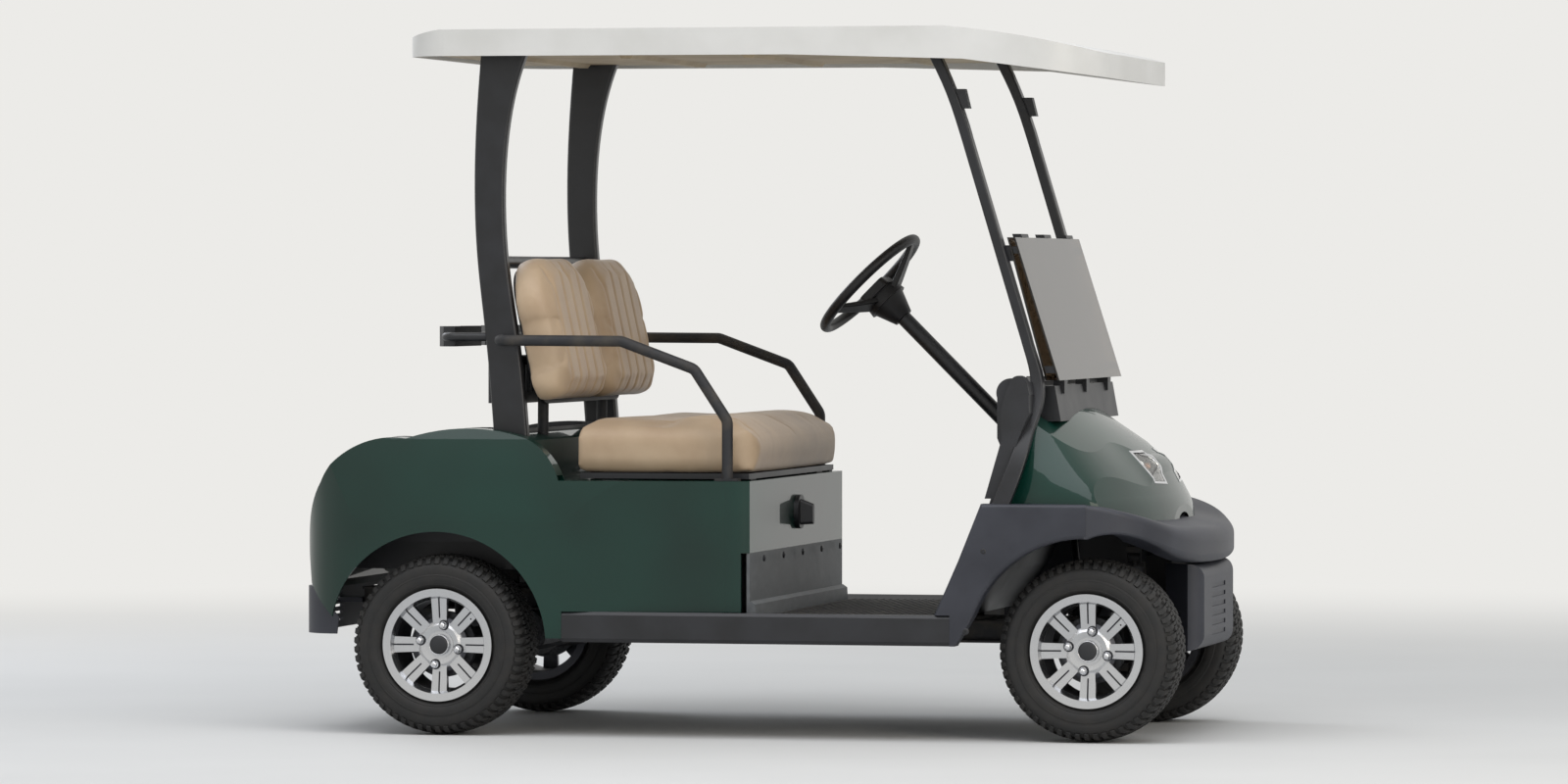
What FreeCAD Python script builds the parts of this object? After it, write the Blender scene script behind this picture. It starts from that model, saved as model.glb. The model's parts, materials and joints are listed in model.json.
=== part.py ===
"""A two-seat golf cart with a moulded body, a hard roof and a fold-down windshield.

Millimetres. +X is forward, +Y is the driver's (left) side, +Z is up. The origin is on the ground,
under the middle of the cart's length and width.
"""

import FreeCAD, Part
import math
import os

V = FreeCAD.Vector

# Driving dimensions
wheelbase = 1664.0
front_axle_x = 895.0
rear_axle_x = front_axle_x - wheelbase
front_track = 876.0
rear_track = 980.0
nose_x = 1155.0
tail_x = -1155.0
body_half_width = 592.0
floor_z = 304.0
floor_thickness = 8.0
panel = 5.0
channel_gap = 0.5

# Wheels
tyre_radius = 229.0
tyre_width = 200.0
tread_half_width = 80.0
rim_radius = 143.0
bead_radius = 127.0
bead_half = 78.0
barrel_radius = 116.0
spoke_count = 8
spoke_rim_width = 41.0
spoke_hub_width = 36.0
spoke_groove = 4.0
hub_radius = 66.0
hub_disc_radius = 49.0
nut_circle_radius = 50.8
nut_radius = 10.0
nut_pocket_radius = 13.5
nut_turn = 12.5
cap_radius = 24.7
axle_z = tyre_radius

# Front suspension and steering
kingpin_y = 362.0
kingpin_radius = 9.0
running_gap = 0.1
seat_gap = 0.3
fork_half_width = 18.0
front_damper_x = front_axle_x + 64
knuckle_radius = 20.0
knuckle_half_height = 42.0
spindle_radius = 12.0
steer_arm = 86.0
steer_arm_inset = 26.0
steer_arm_z = 192.0
steer_arm_height = 14.0
rack_x = front_axle_x - steer_arm
rack_z = 219.5
rack_radius = 9.0
rack_housing_radius = 16.0
rack_housing_half = 124.0
rack_half = 254.0
rod_eye_radius = 10.0
pinion_y = 70.0

# Steering wheel and column
wheel_centre = V(167.0, 280.0, 1146.0)
column_angle = 45.0
steering_wheel_radius = 176.0
steering_grip_radius = 13.5
column_radius = 20.0

# Frame rails
rail_y = 150.0
rail_half_height = 28.0
rail_width = 46.0
rail_low_z = 258.0
frame_front_x = 1035.0
rail_high_z = 330.0
rail_flange = 6.0
damper_bridge_z = 398.0

# Body heights and places
arch_radius = 288.0
front_arch_radius = 282.0
band_top_z = 597.0
band_ledge = 36.0
cowl_half_base = 556.0
cowl_foot_z = 545.0
lamp_bezel_width = 6.0
cup_radius = 34.0
cup_y = 165.0
nose_corner_radius = 250.0
nose_corner_turn = 75.0
nose_corner_back = 295.0
hood_axis_x = -374.0
bumper_setback = 15.0
rocker_low_z = 241.0
fender_depth = 46.0
fender_foot_x = 560.0
rocker_rear_x = -440.0
seat_front_x = 35.0
kick_top_z = 467.0
seat_base_top_z = 648.0
cushion_top_z = 796.0
cushion_rear_x = -432.0
cushion_half_width = 500.0
lid_hinge_x = -420.0
lid_hinge_lift = 6.0
seat_recess_x = -532.0
lid_board_thickness = 14.0
back_tilt = 12.0
seat_back_foot = V(-452, 0, 850)
back_shell_x = -538.3
back_shell_half = 440.0
back_shell_thickness = 7.7
seat_leg_y = 300.0
seat_leg_radius = 14.0
seat_leg_foot_x = -566.0

# Roof and struts
bag_front_x = -596.0
bag_rear_x = tail_x + 41
bag_floor_z = 414.0
bag_step_z = 486.0
bag_low_half = 372.0
bag_high_half = 432.0
roof_low_z = 1722.0
roof_top_z = 1797.0
roof_edge_drop = 8.0
crown_overrun = 40.0
strut_top_z = 1728.0
roof_front_x = 925.0
roof_rear_x = -860.0
roof_half_width = 578.0
roof_front_corner = 170.0
roof_rear_corner = 110.0
roof_wall = 7.0
front_strut_y = 438.0
strut_half_depth = 12.5
strut_half_width = 19.0
rear_strut_y = 462.0
rear_strut_width = 34.0
strut_slope = 16.8

# Windshield
pane_thickness = 5.0
pane_half_width = 430.0
pane_low_z = 903.0
pane_high_z = 1262.0
pane_gap_low = 26.0
pane_gap_high = 11.0
pane_lean = 10.0


def box(x, y, z):
    """A block between three pairs of low and high values."""
    return Part.makeBox(x[1] - x[0], y[1] - y[0], z[1] - z[0], V(x[0], y[0], z[0]))


def rod(start, end, radius):
    """A round bar from one point to another."""
    along = end - start
    return Part.makeCylinder(radius, along.Length, start, along)


def cone(start, end, radius_start, radius_end):
    """A taper from one point to another."""
    along = end - start
    return Part.makeCone(radius_start, radius_end, along.Length, start, along)


def outline(place, start, *steps):
    """A closed wire in a plane. A step of two numbers ends a line; one of four is an arc's middle and end."""
    edges = []
    here = place(*start)
    for step in list(steps) + [start]:
        there = place(*step[-2:])
        if len(step) == 4:
            edges.append(Part.Arc(here, place(*step[:2]), there).toShape())
        elif here.distanceToPoint(there) > 1e-6:
            edges.append(Part.makeLine(here, there))
        here = there
    return Part.Wire(edges)


def side_cut(y_low, y_high, start, *steps):
    """A solid with an outline in the XZ plane, between two values of Y."""
    wire = outline(lambda x, z: V(x, y_low, z), start, *steps)
    return Part.Face(wire).extrude(V(0, y_high - y_low, 0))


def plan_cut(z_low, z_high, start, *steps):
    """A solid with an outline in the XY plane, between two values of Z."""
    wire = outline(lambda x, y: V(x, y, z_low), start, *steps)
    return Part.Face(wire).extrude(V(0, 0, z_high - z_low))


def end_cut(x_low, x_high, start, *steps):
    """A solid with an outline in the YZ plane, between two values of X."""
    wire = outline(lambda y, z: V(x_low, y, z), start, *steps)
    return Part.Face(wire).extrude(V(x_high - x_low, 0, 0))


def rounded_plan(x, y, z, radius):
    """A block with rounded upright edges."""
    block = box(x, y, z)
    upright = [e for e in block.Edges if abs(e.tangentAt(e.FirstParameter).z) > 0.99]
    return block.makeFillet(radius, upright)


def mirrored(shape):
    """The same shape on the other side of the cart."""
    return shape.mirror(V(0, 0, 0), V(0, 1, 0))


def both(shape):
    """A shape and its mirror image, as a list."""
    return [shape, mirrored(shape)]


def fuse(shapes):
    """One shape out of several that touch."""
    joined = shapes[0].fuse(shapes[1:]) if len(shapes) > 1 else shapes[0]
    return joined.removeSplitter()


def section(centre, across, up, half_across, half_up, radius):
    """A rounded rectangle as a wire, in the plane of two unit vectors."""
    def at(a, b):
        return centre + across * a + up * b

    edges = []
    diagonal = radius * (1 - math.sqrt(0.5))
    corners = [(1, 1), (-1, 1), (-1, -1), (1, -1)]
    spots = []
    for a, b in corners:
        first = (a * half_across, b * (half_up - radius))
        middle = (a * (half_across - diagonal), b * (half_up - diagonal))
        last = (a * (half_across - radius), b * half_up)
        spots.append((first, middle, last) if a * b > 0 else (last, middle, first))
    for i, (first, middle, last) in enumerate(spots):
        edges.append(Part.Arc(at(*first), at(*middle), at(*last)).toShape())
        edges.append(Part.makeLine(at(*last), at(*spots[(i + 1) % 4][0])))
    return Part.Wire(edges)


def loft(wires):
    """A solid through closed wires."""
    return Part.makeLoft(wires, True, False)


def bent_tube(points, radius, bend):
    """A round bar along straight runs with rounded corners."""
    edges = []
    here = points[0]
    for i in range(1, len(points) - 1):
        back = (points[i - 1] - points[i]).normalize()
        ahead = (points[i + 1] - points[i]).normalize()
        half_angle = back.getAngle(ahead) / 2
        cut = bend / math.tan(half_angle)
        first = points[i] + back * cut
        last = points[i] + ahead * cut
        bisector = (back + ahead).normalize()
        middle = points[i] + bisector * (bend / math.sin(half_angle) - bend)
        edges.append(Part.makeLine(here, first))
        edges.append(Part.Arc(first, middle, last).toShape())
        here = last
    edges.append(Part.makeLine(here, points[-1]))
    circle = Part.Wire(Part.makeCircle(radius, points[0], points[1] - points[0]))
    return Part.Wire(edges).makePipeShell([circle], True, False)


def swept_bar(stations, radius):
    """A bar of changing section. A station is (x, y, z, half depth in X, half width in Y, lean in degrees)."""
    wires = []
    for x, y, z, half_x, half_y, lean in stations:
        turn = math.radians(lean)
        depth = V(math.cos(turn), 0, math.sin(turn))
        wires.append(section(V(x, y, z), V(0, 1, 0), depth, half_y, half_x, radius))
    return loft(wires)


def revolve_y(centre, profile):
    """A ring about an axle along Y; the profile's steps are (y, radius) as in outline."""
    wire = outline(lambda y, r: centre + V(0, y, r), *profile)
    return Part.Face(wire).revolve(centre, V(0, 1, 0), 360)


parts = {}


def keep(name, *shapes):
    """Stores a node as one or more closed solids."""
    solids = [s for shape in shapes for s in shape.Solids]
    parts[name] = solids


# Wheels


def tyre(centre):
    """A tyre with a crowned tread, rounded shoulders and a hollow for the rim."""
    half = tyre_width / 2
    shoulder = tyre_radius - 7
    foot = rim_radius + 1.5
    profile = [
        (-tread_half_width, shoulder),
        (0, tyre_radius, tread_half_width, shoulder),
        (half - 6, tyre_radius - 22, half - 2, tyre_radius - 48),
        (half, bead_radius + 42, bead_half, foot),
        (bead_half, bead_radius),
        (-bead_half, bead_radius),
        (-bead_half, foot),
        (-half, bead_radius + 42, -half + 2, tyre_radius - 48),
        (-half + 6, tyre_radius - 22, -tread_half_width, shoulder),
    ]
    return revolve_y(centre, profile)


def rim(centre, side):
    """An alloy wheel: a barrel, a face with split spokes, a hub with four nuts and a cap."""
    half = bead_half + 2
    seat = bead_half + seat_gap
    out = side
    barrel = revolve_y(centre, [
        (out * seat, bead_radius - seat_gap),
        (out * seat, rim_radius),
        (out * (half + 10), rim_radius),
        (out * (half + 8), bead_radius - 3.5),
        (out * (half - 14), barrel_radius),
        (-out * (half - 14), barrel_radius),
        (-out * (half + 8), bead_radius - 7),
        (-out * (half + 10), rim_radius - 3),
        (-out * seat, rim_radius - 3),
        (-out * seat, bead_radius - seat_gap),
    ])
    face_y = half - 4
    pieces = [barrel]
    hub = revolve_y(centre, [
        (out * (face_y - 44), 40.0),
        (out * (face_y - 44), hub_radius),
        (out * (face_y - 22), hub_radius + 4),
        (out * (face_y - 10), hub_disc_radius),
        (out * (face_y - 14), 34.0),
        (out * (face_y - 14), 0.0),
        (out * (face_y - 30), 0.0),
        (out * (face_y - 30), 40.0),
    ])
    pieces.append(hub)
    for i in range(spoke_count):
        angle = 360.0 / spoke_count * i
        inner = hub_radius - 12
        outer = barrel_radius + 4
        back = out * (face_y - 26)
        spoke = end_cut(
            -spoke_rim_width, spoke_rim_width,
            (back, inner), (out * (face_y - 13), inner), (out * (face_y - 4), outer), (back, outer),
        )
        spoke = spoke.common(side_cut(
            -half - 20, half + 20,
            (-spoke_hub_width / 2, inner), (spoke_hub_width / 2, inner),
            (spoke_rim_width / 2, outer), (-spoke_rim_width / 2, outer),
        ))
        groove_floor = out * (face_y - 17)
        groove = box(
            (-spoke_groove / 2, spoke_groove / 2),
            (min(groove_floor, out * half), max(groove_floor, out * half)),
            (inner + 14, outer + 2),
        )
        spoke = spoke.cut(groove)
        spoke.rotate(V(0, 0, 0), V(0, 1, 0), angle)
        spoke.translate(centre)
        pieces.append(spoke)
    cap = rod(centre + V(0, out * (face_y - 20), 0), centre + V(0, out * (face_y - 4), 0), cap_radius)
    pieces.append(cap)
    wheel = fuse(pieces)
    nuts = []
    for i in range(4):
        angle = math.radians(90 * i + nut_turn)
        spot = centre + V(nut_circle_radius * math.sin(angle), 0, nut_circle_radius * math.cos(angle))
        wheel = wheel.cut(rod(spot + V(0, out * (face_y - 18), 0), spot + V(0, out * half, 0),
            nut_pocket_radius))
        nuts.append(rod(spot + V(0, out * (face_y - 20), 0), spot + V(0, out * (face_y - 3), 0), nut_radius))
    return fuse([wheel] + nuts)


def brake_drum(centre, side, depth, bore):
    """The drum or hub that the wheel is bolted to."""
    face = bead_half + 2 - 4 - 44 - seat_gap
    inner = face - depth
    return revolve_y(centre, [
        (side * face, bore),
        (side * face, hub_radius),
        (side * (face - 2), hub_radius),
        (side * (face - 2), 84.0),
        (side * inner, 84.0),
        (side * inner, 78.0),
        (side * (face - 12), 78.0),
        (side * (face - 12), bore),
    ])


def wheels():
    """Four wheels, each a tyre and a rim with its drum."""
    for name, x, y in (
        ("front_left", front_axle_x, front_track / 2),
        ("front_right", front_axle_x, -front_track / 2),
        ("rear_left", rear_axle_x, rear_track / 2),
        ("rear_right", rear_axle_x, -rear_track / 2),
    ):
        centre = V(x, y, axle_z)
        side = 1 if y > 0 else -1
        keep("tyre_" + name, tyre(centre))
        keep("rim_" + name, rim(centre, side))
        keep("brake_drum_" + name, brake_drum(centre, side, 26.0, spindle_radius + running_gap))


# Front suspension and steering gear


def knuckle(side):
    """The turning knuckle: a barrel on the kingpin, the spindle and the steering arm."""
    pin = V(front_axle_x, side * kingpin_y, 0)
    barrel = rod(pin + V(0, 0, axle_z - knuckle_half_height), pin + V(0, 0, axle_z + knuckle_half_height),
        knuckle_radius)
    spindle_end = front_track / 2 + 32
    spindle = rod(V(front_axle_x, side * (kingpin_y + 8), axle_z),
        V(front_axle_x, side * spindle_end, axle_z), spindle_radius)
    arm = side_cut(0, steer_arm_height, (0, -11), (-steer_arm, -9), (-steer_arm - 12, 0, -steer_arm, 9),
        (0, 11))
    arm.rotate(V(0, 0, 0), V(1, 0, 0), 90)
    arm.translate(V(front_axle_x, side * kingpin_y, steer_arm_z))
    turn = side * math.degrees(math.asin(steer_arm_inset / steer_arm))
    arm.rotate(V(front_axle_x, side * kingpin_y, 0), V(0, 0, 1), turn)
    bore = rod(pin + V(0, 0, 100), pin + V(0, 0, 400), kingpin_radius + running_gap)
    return fuse([barrel, spindle, arm]).cut(bore)


def upright(side):
    """The fixed fork that holds a kingpin, above and below the knuckle."""
    gap = 0.5
    top = axle_z + knuckle_half_height + gap
    low = axle_z - knuckle_half_height - gap
    x = (front_axle_x - fork_half_width, front_axle_x + fork_half_width)
    inner, outer = kingpin_y - 52, kingpin_y + 20
    post = kingpin_y - 40
    pieces = [
        box(x, (inner, outer), (top, top + 12)),
        box(x, (inner, outer), (low - 14, low)),
        box(x, (inner, post), (low - 14, top + 12)),
        rod(V(front_axle_x, kingpin_y, low - 20), V(front_axle_x, kingpin_y, top + 20), kingpin_radius),
    ]
    fork = fuse(pieces)
    return fork if side > 0 else mirrored(fork)


def front_suspension():
    """A transverse leaf spring, two wishbones, two dampers and the kingpin forks."""
    low = axle_z - knuckle_half_height - 14.5
    reach = kingpin_y - 52 - seat_gap
    spring = end_cut(
        front_axle_x - 30, front_axle_x + 30,
        (-reach, low - 14), (0, low - 40, reach, low - 14), (reach, low),
        (0, low - 22, -reach, low),
    )
    clamp = box((front_axle_x - 42, front_axle_x + 42), (-60, 60), (low - 30, rail_low_z - rail_half_height))
    keep("front_leaf_spring", fuse([spring, clamp]))
    top = axle_z + knuckle_half_height + 0.5
    arms = []
    for side in (1, -1):
        arm = plan_cut(
            top + 12, top + 20,
            (front_axle_x - 20, kingpin_y - 24), (front_axle_x + 20, kingpin_y - 24),
            (front_axle_x + 45, rail_y + rail_width / 2), (front_axle_x - 45, rail_y + rail_width / 2),
        )
        window = plan_cut(
            top + 10, top + 22,
            (front_axle_x - 12, kingpin_y - 66), (front_axle_x + 12, kingpin_y - 66),
            (front_axle_x + 30, rail_y + rail_width / 2 + 26),
            (front_axle_x - 30, rail_y + rail_width / 2 + 26),
        )
        arm = arm.cut(window)
        pivot = rod(
            V(front_axle_x - 50, rail_y + rail_width / 2 + 9, top + 16),
            V(front_axle_x + 50, rail_y + rail_width / 2 + 9, top + 16), 9.0,
        )
        piece = fuse([arm, pivot, upright(1)])
        arms.append(piece if side > 0 else mirrored(piece))
    keep("front_wishbones", *arms)
    foot = V(front_damper_x, 252, low - 15)
    head = V(front_damper_x, 205, 452)
    along = (head - foot).normalize()
    damper = fuse([
        rod(foot, foot + along * 30, 9.0),
        rod(foot + along * 28, foot + along * 165, 22.0),
        rod(foot + along * 160, head, 8.0),
        rod(foot + along * 190, head - along * 24, 26.0),
        rod(head - V(16, 0, 0), head + V(16, 0, 0), 12.0),
        rod(V(front_axle_x + 30 + seat_gap, foot.y, foot.z), foot + V(16, 0, 0), 9.0),
    ])
    keep("front_dampers", *both(damper))


def steering_gear():
    """The rack housing on the frame, and the sliding rack with its tie rods."""
    housing = rod(V(rack_x, -rack_housing_half, rack_z), V(rack_x, rack_housing_half, rack_z),
        rack_housing_radius)
    pinion = rod(V(rack_x - 8, pinion_y, rack_z - 14), V(rack_x - 34, pinion_y, rack_z + 40), 15.0)
    rail_face = rail_y - rail_width / 2
    feet = both(box((rack_x - 16, rack_x + 16), (rack_housing_half - 20, rail_face), (rack_z, rail_low_z)))
    bore = rod(V(rack_x, -200, rack_z), V(rack_x, 200, rack_z), rack_radius + running_gap)
    keep("rack_housing", fuse([housing, pinion] + feet).cut(bore))
    bar = rod(V(rack_x, -rack_half, rack_z), V(rack_x, rack_half, rack_z), rack_radius)
    pieces = [bar]
    angle = math.asin(steer_arm_inset / steer_arm)
    eye_x = front_axle_x - steer_arm * math.cos(angle)
    eye_y = kingpin_y - steer_arm_inset
    for side in (1, -1):
        eye = V(eye_x, side * eye_y, rack_z)
        inner = V(rack_x, side * (rack_half - 14), rack_z)
        pieces.append(rod(inner, eye, 7.5))
        pieces.append(Part.makeSphere(13.0, V(rack_x, side * (rack_half - 8), rack_z)))
        pieces.append(rod(V(eye_x, side * eye_y, steer_arm_z + steer_arm_height + 0.5), eye + V(0, 0, 12),
            rod_eye_radius))
    keep("steering_rack", fuse(pieces))


def steering_column():
    """The fixed column tube, and its lower shaft down to the rack."""
    turn = math.radians(column_angle)
    down = V(math.cos(turn), 0, -math.sin(turn))
    start = wheel_centre + down * 128
    end = wheel_centre + down * 752
    tube = rod(start, end, column_radius)
    collar = rod(wheel_centre + down * 560, wheel_centre + down * 600, column_radius + 9)
    joint = wheel_centre + down * 752
    pinion_top = V(rack_x - 34, pinion_y, rack_z + 40)
    shaft = rod(joint - down * 4, pinion_top, 9.0)
    keep("steering_column", fuse([tube, collar, shaft]).cut(parts["rack_housing"][0]))


def steering_wheel():
    """A grip ring, three spokes, a dished hub and the scorecard clip."""
    turn = math.radians(column_angle)
    down = V(math.cos(turn), 0, -math.sin(turn))
    rise = V(math.sin(turn), 0, math.cos(turn))
    across = V(0, 1, 0)
    ring = Part.makeTorus(steering_wheel_radius - steering_grip_radius, steering_grip_radius, wheel_centre,
        down)
    pieces = [ring]
    hub_depth = 62.0
    hub_centre = wheel_centre + down * hub_depth
    for angle, half_width in ((0, 26.0), (125, 20.0), (-125, 20.0)):
        out = rise * math.cos(math.radians(angle)) + across * math.sin(math.radians(angle))
        beside = rise * -math.sin(math.radians(angle)) + across * math.cos(math.radians(angle))
        reach = steering_wheel_radius - steering_grip_radius
        wires = [
            section(hub_centre + out * 18, beside, down, half_width + 10, 9.0, 4.0),
            section(wheel_centre + down * (hub_depth * 0.6) + out * (reach * 0.5), beside, down, half_width,
                8.0, 4.0),
            section(wheel_centre + out * reach, beside, down, half_width * 0.8, 6.0, 4.0),
        ]
        pieces.append(loft(wires))
    pieces.append(cone(hub_centre - down * 22, hub_centre + down * 8, 52.0, 56.0))
    pieces.append(cone(hub_centre + down * 6, hub_centre + down * 65, 50.0, 27.0))
    clip_low = wheel_centre + down * 40
    pad = section(clip_low, across, rise, 62.0, 46.0, 14.0)
    pad_top = section(clip_low - down * 24, across, rise, 56.0, 40.0, 14.0)
    pieces.append(loft([pad, pad_top]))
    keep("steering_wheel", fuse(pieces))


# Frame, floor and running gear


def rail_path():
    """The side view of a frame rail's middle line, as (x, z)."""
    return [(frame_front_x, rail_low_z), (-430, rail_low_z), (-560, rail_high_z), (-1085, rail_high_z)]


def rail_band(half_height, y_low, y_high, grow):
    """A rail's side view, made into a plate."""
    path = rail_path()
    front, rear = path[0], path[-1]
    top = [(front[0] + grow, front[1] + half_height)] + [(x, z + half_height) for x, z in path[1:-1]]
    top.append((rear[0] - grow, rear[1] + half_height))
    low = [(x, z - 2 * half_height) for x, z in top]
    return side_cut(y_low, y_high, top[0], *(top[1:] + low[::-1]))


def frame():
    """Two I-section rails and the members that join them."""
    y = (rail_y - rail_width / 2, rail_y + rail_width / 2)
    rail = rail_band(rail_half_height, y[0], y[1], 0)
    web = 6.0
    for side in ((y[0] - 1, rail_y - web / 2), (rail_y + web / 2, y[1] + 1)):
        rail = rail.cut(rail_band(rail_half_height - rail_flange, side[0], side[1], 5))
    pieces = both(rail)
    inner = rail_y - 2
    top = rail_low_z + rail_half_height
    low = rail_low_z - rail_half_height
    for x, depth in ((1005, 40), (front_axle_x, 60), (560, 40), (60, 40), (-400, 40)):
        pieces.append(box((x - depth / 2, x + depth / 2), (-inner, inner), (low, top)))
    high_low, high_top = rail_high_z - rail_half_height, rail_high_z + rail_half_height
    for x in (-600, -1060):
        pieces.append(box((x - 20, x + 20), (-inner, inner), (high_low, high_top)))
    outrigger_end = rear_track / 2 - 60 - 12
    for x in (480, 20):
        for side in (1, -1):
            arm = box((x - 18, x + 18), (rail_y, outrigger_end),
                (floor_z - floor_thickness - 30, floor_z - floor_thickness))
            pieces.append(arm if side > 0 else mirrored(arm))
    x = front_damper_x
    tower = box((x - 20, x + 20), (rail_y + 10, 220), (440, 480))
    leg = box((x - 20, x + 20), (rail_y - 4, rail_y + 18), (rail_low_z, 480))
    bridge = box((x - 12, x + 12), (-rail_y, rail_y), (452, 476))
    tower = tower.cut(box((x - 16 - seat_gap, x + 16 + seat_gap), (170, 260), (430, 464 + seat_gap)))
    pieces += both(fuse([tower, leg])) + [bridge]
    bridge_x = (rear_axle_x - 18, rear_axle_x + 18)
    pieces.append(box(bridge_x, (-352, 352), (damper_bridge_z, damper_bridge_z + 12)))
    pieces += both(box(bridge_x, (rail_y - 10, rail_y + 10), (rail_high_z, damper_bridge_z + 2)))
    spring_y = 262.0
    for x in (-470.0, -1030.0):
        hanger = box((x - 16, x + 16), (rail_y, spring_y + 26), (rail_high_z - 28, rail_high_z - 16))
        pieces += both(hanger)
    keep("frame", fuse(pieces))


def floor_pan():
    """The moulded floor with its rockers and toe board."""
    half = body_half_width - fender_depth - seat_gap
    t = floor_thickness
    toe = [(500, floor_z), (578, 410), (640, 560), (694, 726)]
    back = [(x + t + 3, z - 2) for x, z in toe[1:]]
    skin = side_cut(-half, half, (-8, floor_z),
        *(toe + back[::-1] + [(500 + t, floor_z - t), (-8, floor_z - t)]))
    rocker = end_cut(
        rocker_rear_x, fender_foot_x - seat_gap,
        (half - 4, floor_z), (half - 4, floor_z - t), (half + 20, rocker_low_z), (half + 38, rocker_low_z),
        (half + 46, rocker_low_z + 10), (half + 46, floor_z + 6), (half + 40, floor_z + 14),
        (half + 28, floor_z + 14),
    )
    hollow = end_cut(
        rocker_rear_x - 1, fender_foot_x + 1,
        (half + 8, floor_z - t), (half + 24, rocker_low_z + 6), (half + 36, rocker_low_z + 6),
        (half + 40, rocker_low_z + 14),
        (half + 40, floor_z), (half + 18, floor_z),
    )
    rocker = rocker.cut(hollow)
    column = rod(wheel_centre, wheel_centre + V(math.cos(math.radians(column_angle)), 0,
        -math.sin(math.radians(column_angle))) * 900, column_radius + 6)
    body = fuse([skin] + both(rocker)).cut(column)
    keep("floor_pan", body)


def floor_mat():
    """A ribbed rubber mat."""
    z = floor_z + 0.3
    half = body_half_width - fender_depth - 28
    pieces = [box((60, 486), (-half, half), (z, z + 4))]
    for i in range(22):
        x = 76 + i * 19.0
        pieces.append(box((x, x + 7), (-half + 18, half - 18), (z + 3, z + 6)))
    keep("floor_mat", fuse(pieces))


def rear_axle():
    """The transaxle, its tubes and the motor."""
    tube_end = rear_track / 2 - 60
    x = rear_axle_x
    pieces = [
        rod(V(x, -tube_end, axle_z), V(x, tube_end, axle_z), 30.0),
        rod(V(x, -8, axle_z), V(x, 108, axle_z), 86.0),
        rod(V(x + 100, 20, axle_z + 10), V(x + 100, 112, axle_z + 10), 54.0),
        box((x - 10, x + 100), (26, 104), (axle_z - 52, axle_z + 56)),
        rod(V(x + 100, -118, axle_z + 10), V(x + 100, 30, axle_z + 10), 63.0),
    ]
    for side in (1, -1):
        pieces.append(rod(V(x, side * (tube_end - 14), axle_z), V(x, side * tube_end, axle_z), 60.0))
        end = rear_track / 2 + 40
        pieces.append(rod(V(x, side * tube_end, axle_z), V(x, side * end, axle_z), spindle_radius))
    keep("rear_axle", fuse(pieces))


def rear_springs():
    """Two leaf springs, each of two leaves, with their axle block and shackles."""
    y = (242.0, 282.0)
    x = rear_axle_x
    front, back = -470.0, -1030.0
    low = axle_z - 31
    eye_z = axle_z + 12

    def leaf(end_front, end_back, end_z, top, thick):
        half = thick / 2
        return side_cut(
            y[0], y[1],
            (end_front, end_z + half), (x, top, end_back, end_z + half), (end_back, end_z - half),
            (x, top - thick, end_front, end_z - half),
        )

    main = leaf(front, back, eye_z, low, 10.0)
    second = leaf(x + 170, x - 170, low + 2, low - 9, 8.0)
    block = box((x - 34, x + 34), (y[0] - 4, y[1] + 4), (low - 30, axle_z))
    pieces = [main, second, block]
    for spot in (front, back):
        pieces.append(rod(V(spot, y[0] - 6, eye_z), V(spot, y[1] + 6, eye_z), 14.0))
        for plate in ((y[0] - 6, y[0]), (y[1], y[1] + 6)):
            pieces.append(box((spot - 13, spot + 13), plate, (eye_z, rail_high_z - 28 - seat_gap)))
    spring = fuse(pieces).cut(rod(V(x, -400, axle_z), V(x, 400, axle_z), 30.0 + seat_gap))
    keep("rear_springs", *both(spring))


def rear_dampers():
    """Two dampers from the axle to the bag well's floor."""
    x = rear_axle_x
    foot = V(x, 330, axle_z + 36)
    head = V(x, 330, damper_bridge_z - seat_gap)
    damper = fuse([
        rod(foot - V(0, 0, 6), foot + V(0, 0, 20), 10.0),
        rod(foot + V(0, 0, 14), foot + V(0, 0, 95), 22.0),
        rod(foot + V(0, 0, 90), head, 8.0),
        rod(head - V(0, 0, 62), head - V(0, 0, 14), 26.0),
        rod(head - V(0, 0, 14), head, 12.0),
    ])
    damper = damper.cut(rod(V(x, -400, axle_z), V(x, 400, axle_z), 30.3))
    keep("rear_dampers", *both(damper))


def battery_pack():
    """The heavy mass under the seat, on the frame."""
    low = rail_low_z + rail_half_height + 0.3
    block = box((-395, -60), (-420, 420), (low + 14, 545))
    tray = box((-405, -50), (-430, 430), (low, low + 14))
    grooves = [box((-396, -59), (y - 3, y + 3), (520, 546)) for y in (-210, 0, 210)]
    grooves.append(box((-231, -225), (-421, 421), (520, 546)))
    keep("battery_pack", fuse([block.cut(grooves[0]).cut(grooves[1:]), tray]))


# Body shell


def cowl_section(x, half_base, side, shoulder, crease, crest_z, inset):
    """One section of the cowl's bulge across the cart, from a foot over the crest to the other foot."""
    rows = [
        (half_base - inset, cowl_foot_z), (side[0] - inset, side[1]),
        (shoulder[0] - inset * 0.8, shoulder[1] - inset * 0.7),
        (crease[0] - inset * 0.4, crease[1] - inset),
    ]
    widen = body_half_width - band_ledge - cowl_half_base
    points = [V(x, y + widen, z) for y, z in rows]
    points += [V(x, 0, crest_z - inset)] + [V(p.x, -p.y, p.z) for p in points[::-1]]
    curve = Part.BSplineCurve()
    half = [0.0, 0.095, 0.18, 0.345, 0.5]
    curve.interpolate(Points=points, Parameters=half + [1 - share for share in half[-2::-1]])
    return Part.Wire([curve.toShape(), Part.makeLine(points[-1], points[0])])


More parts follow.
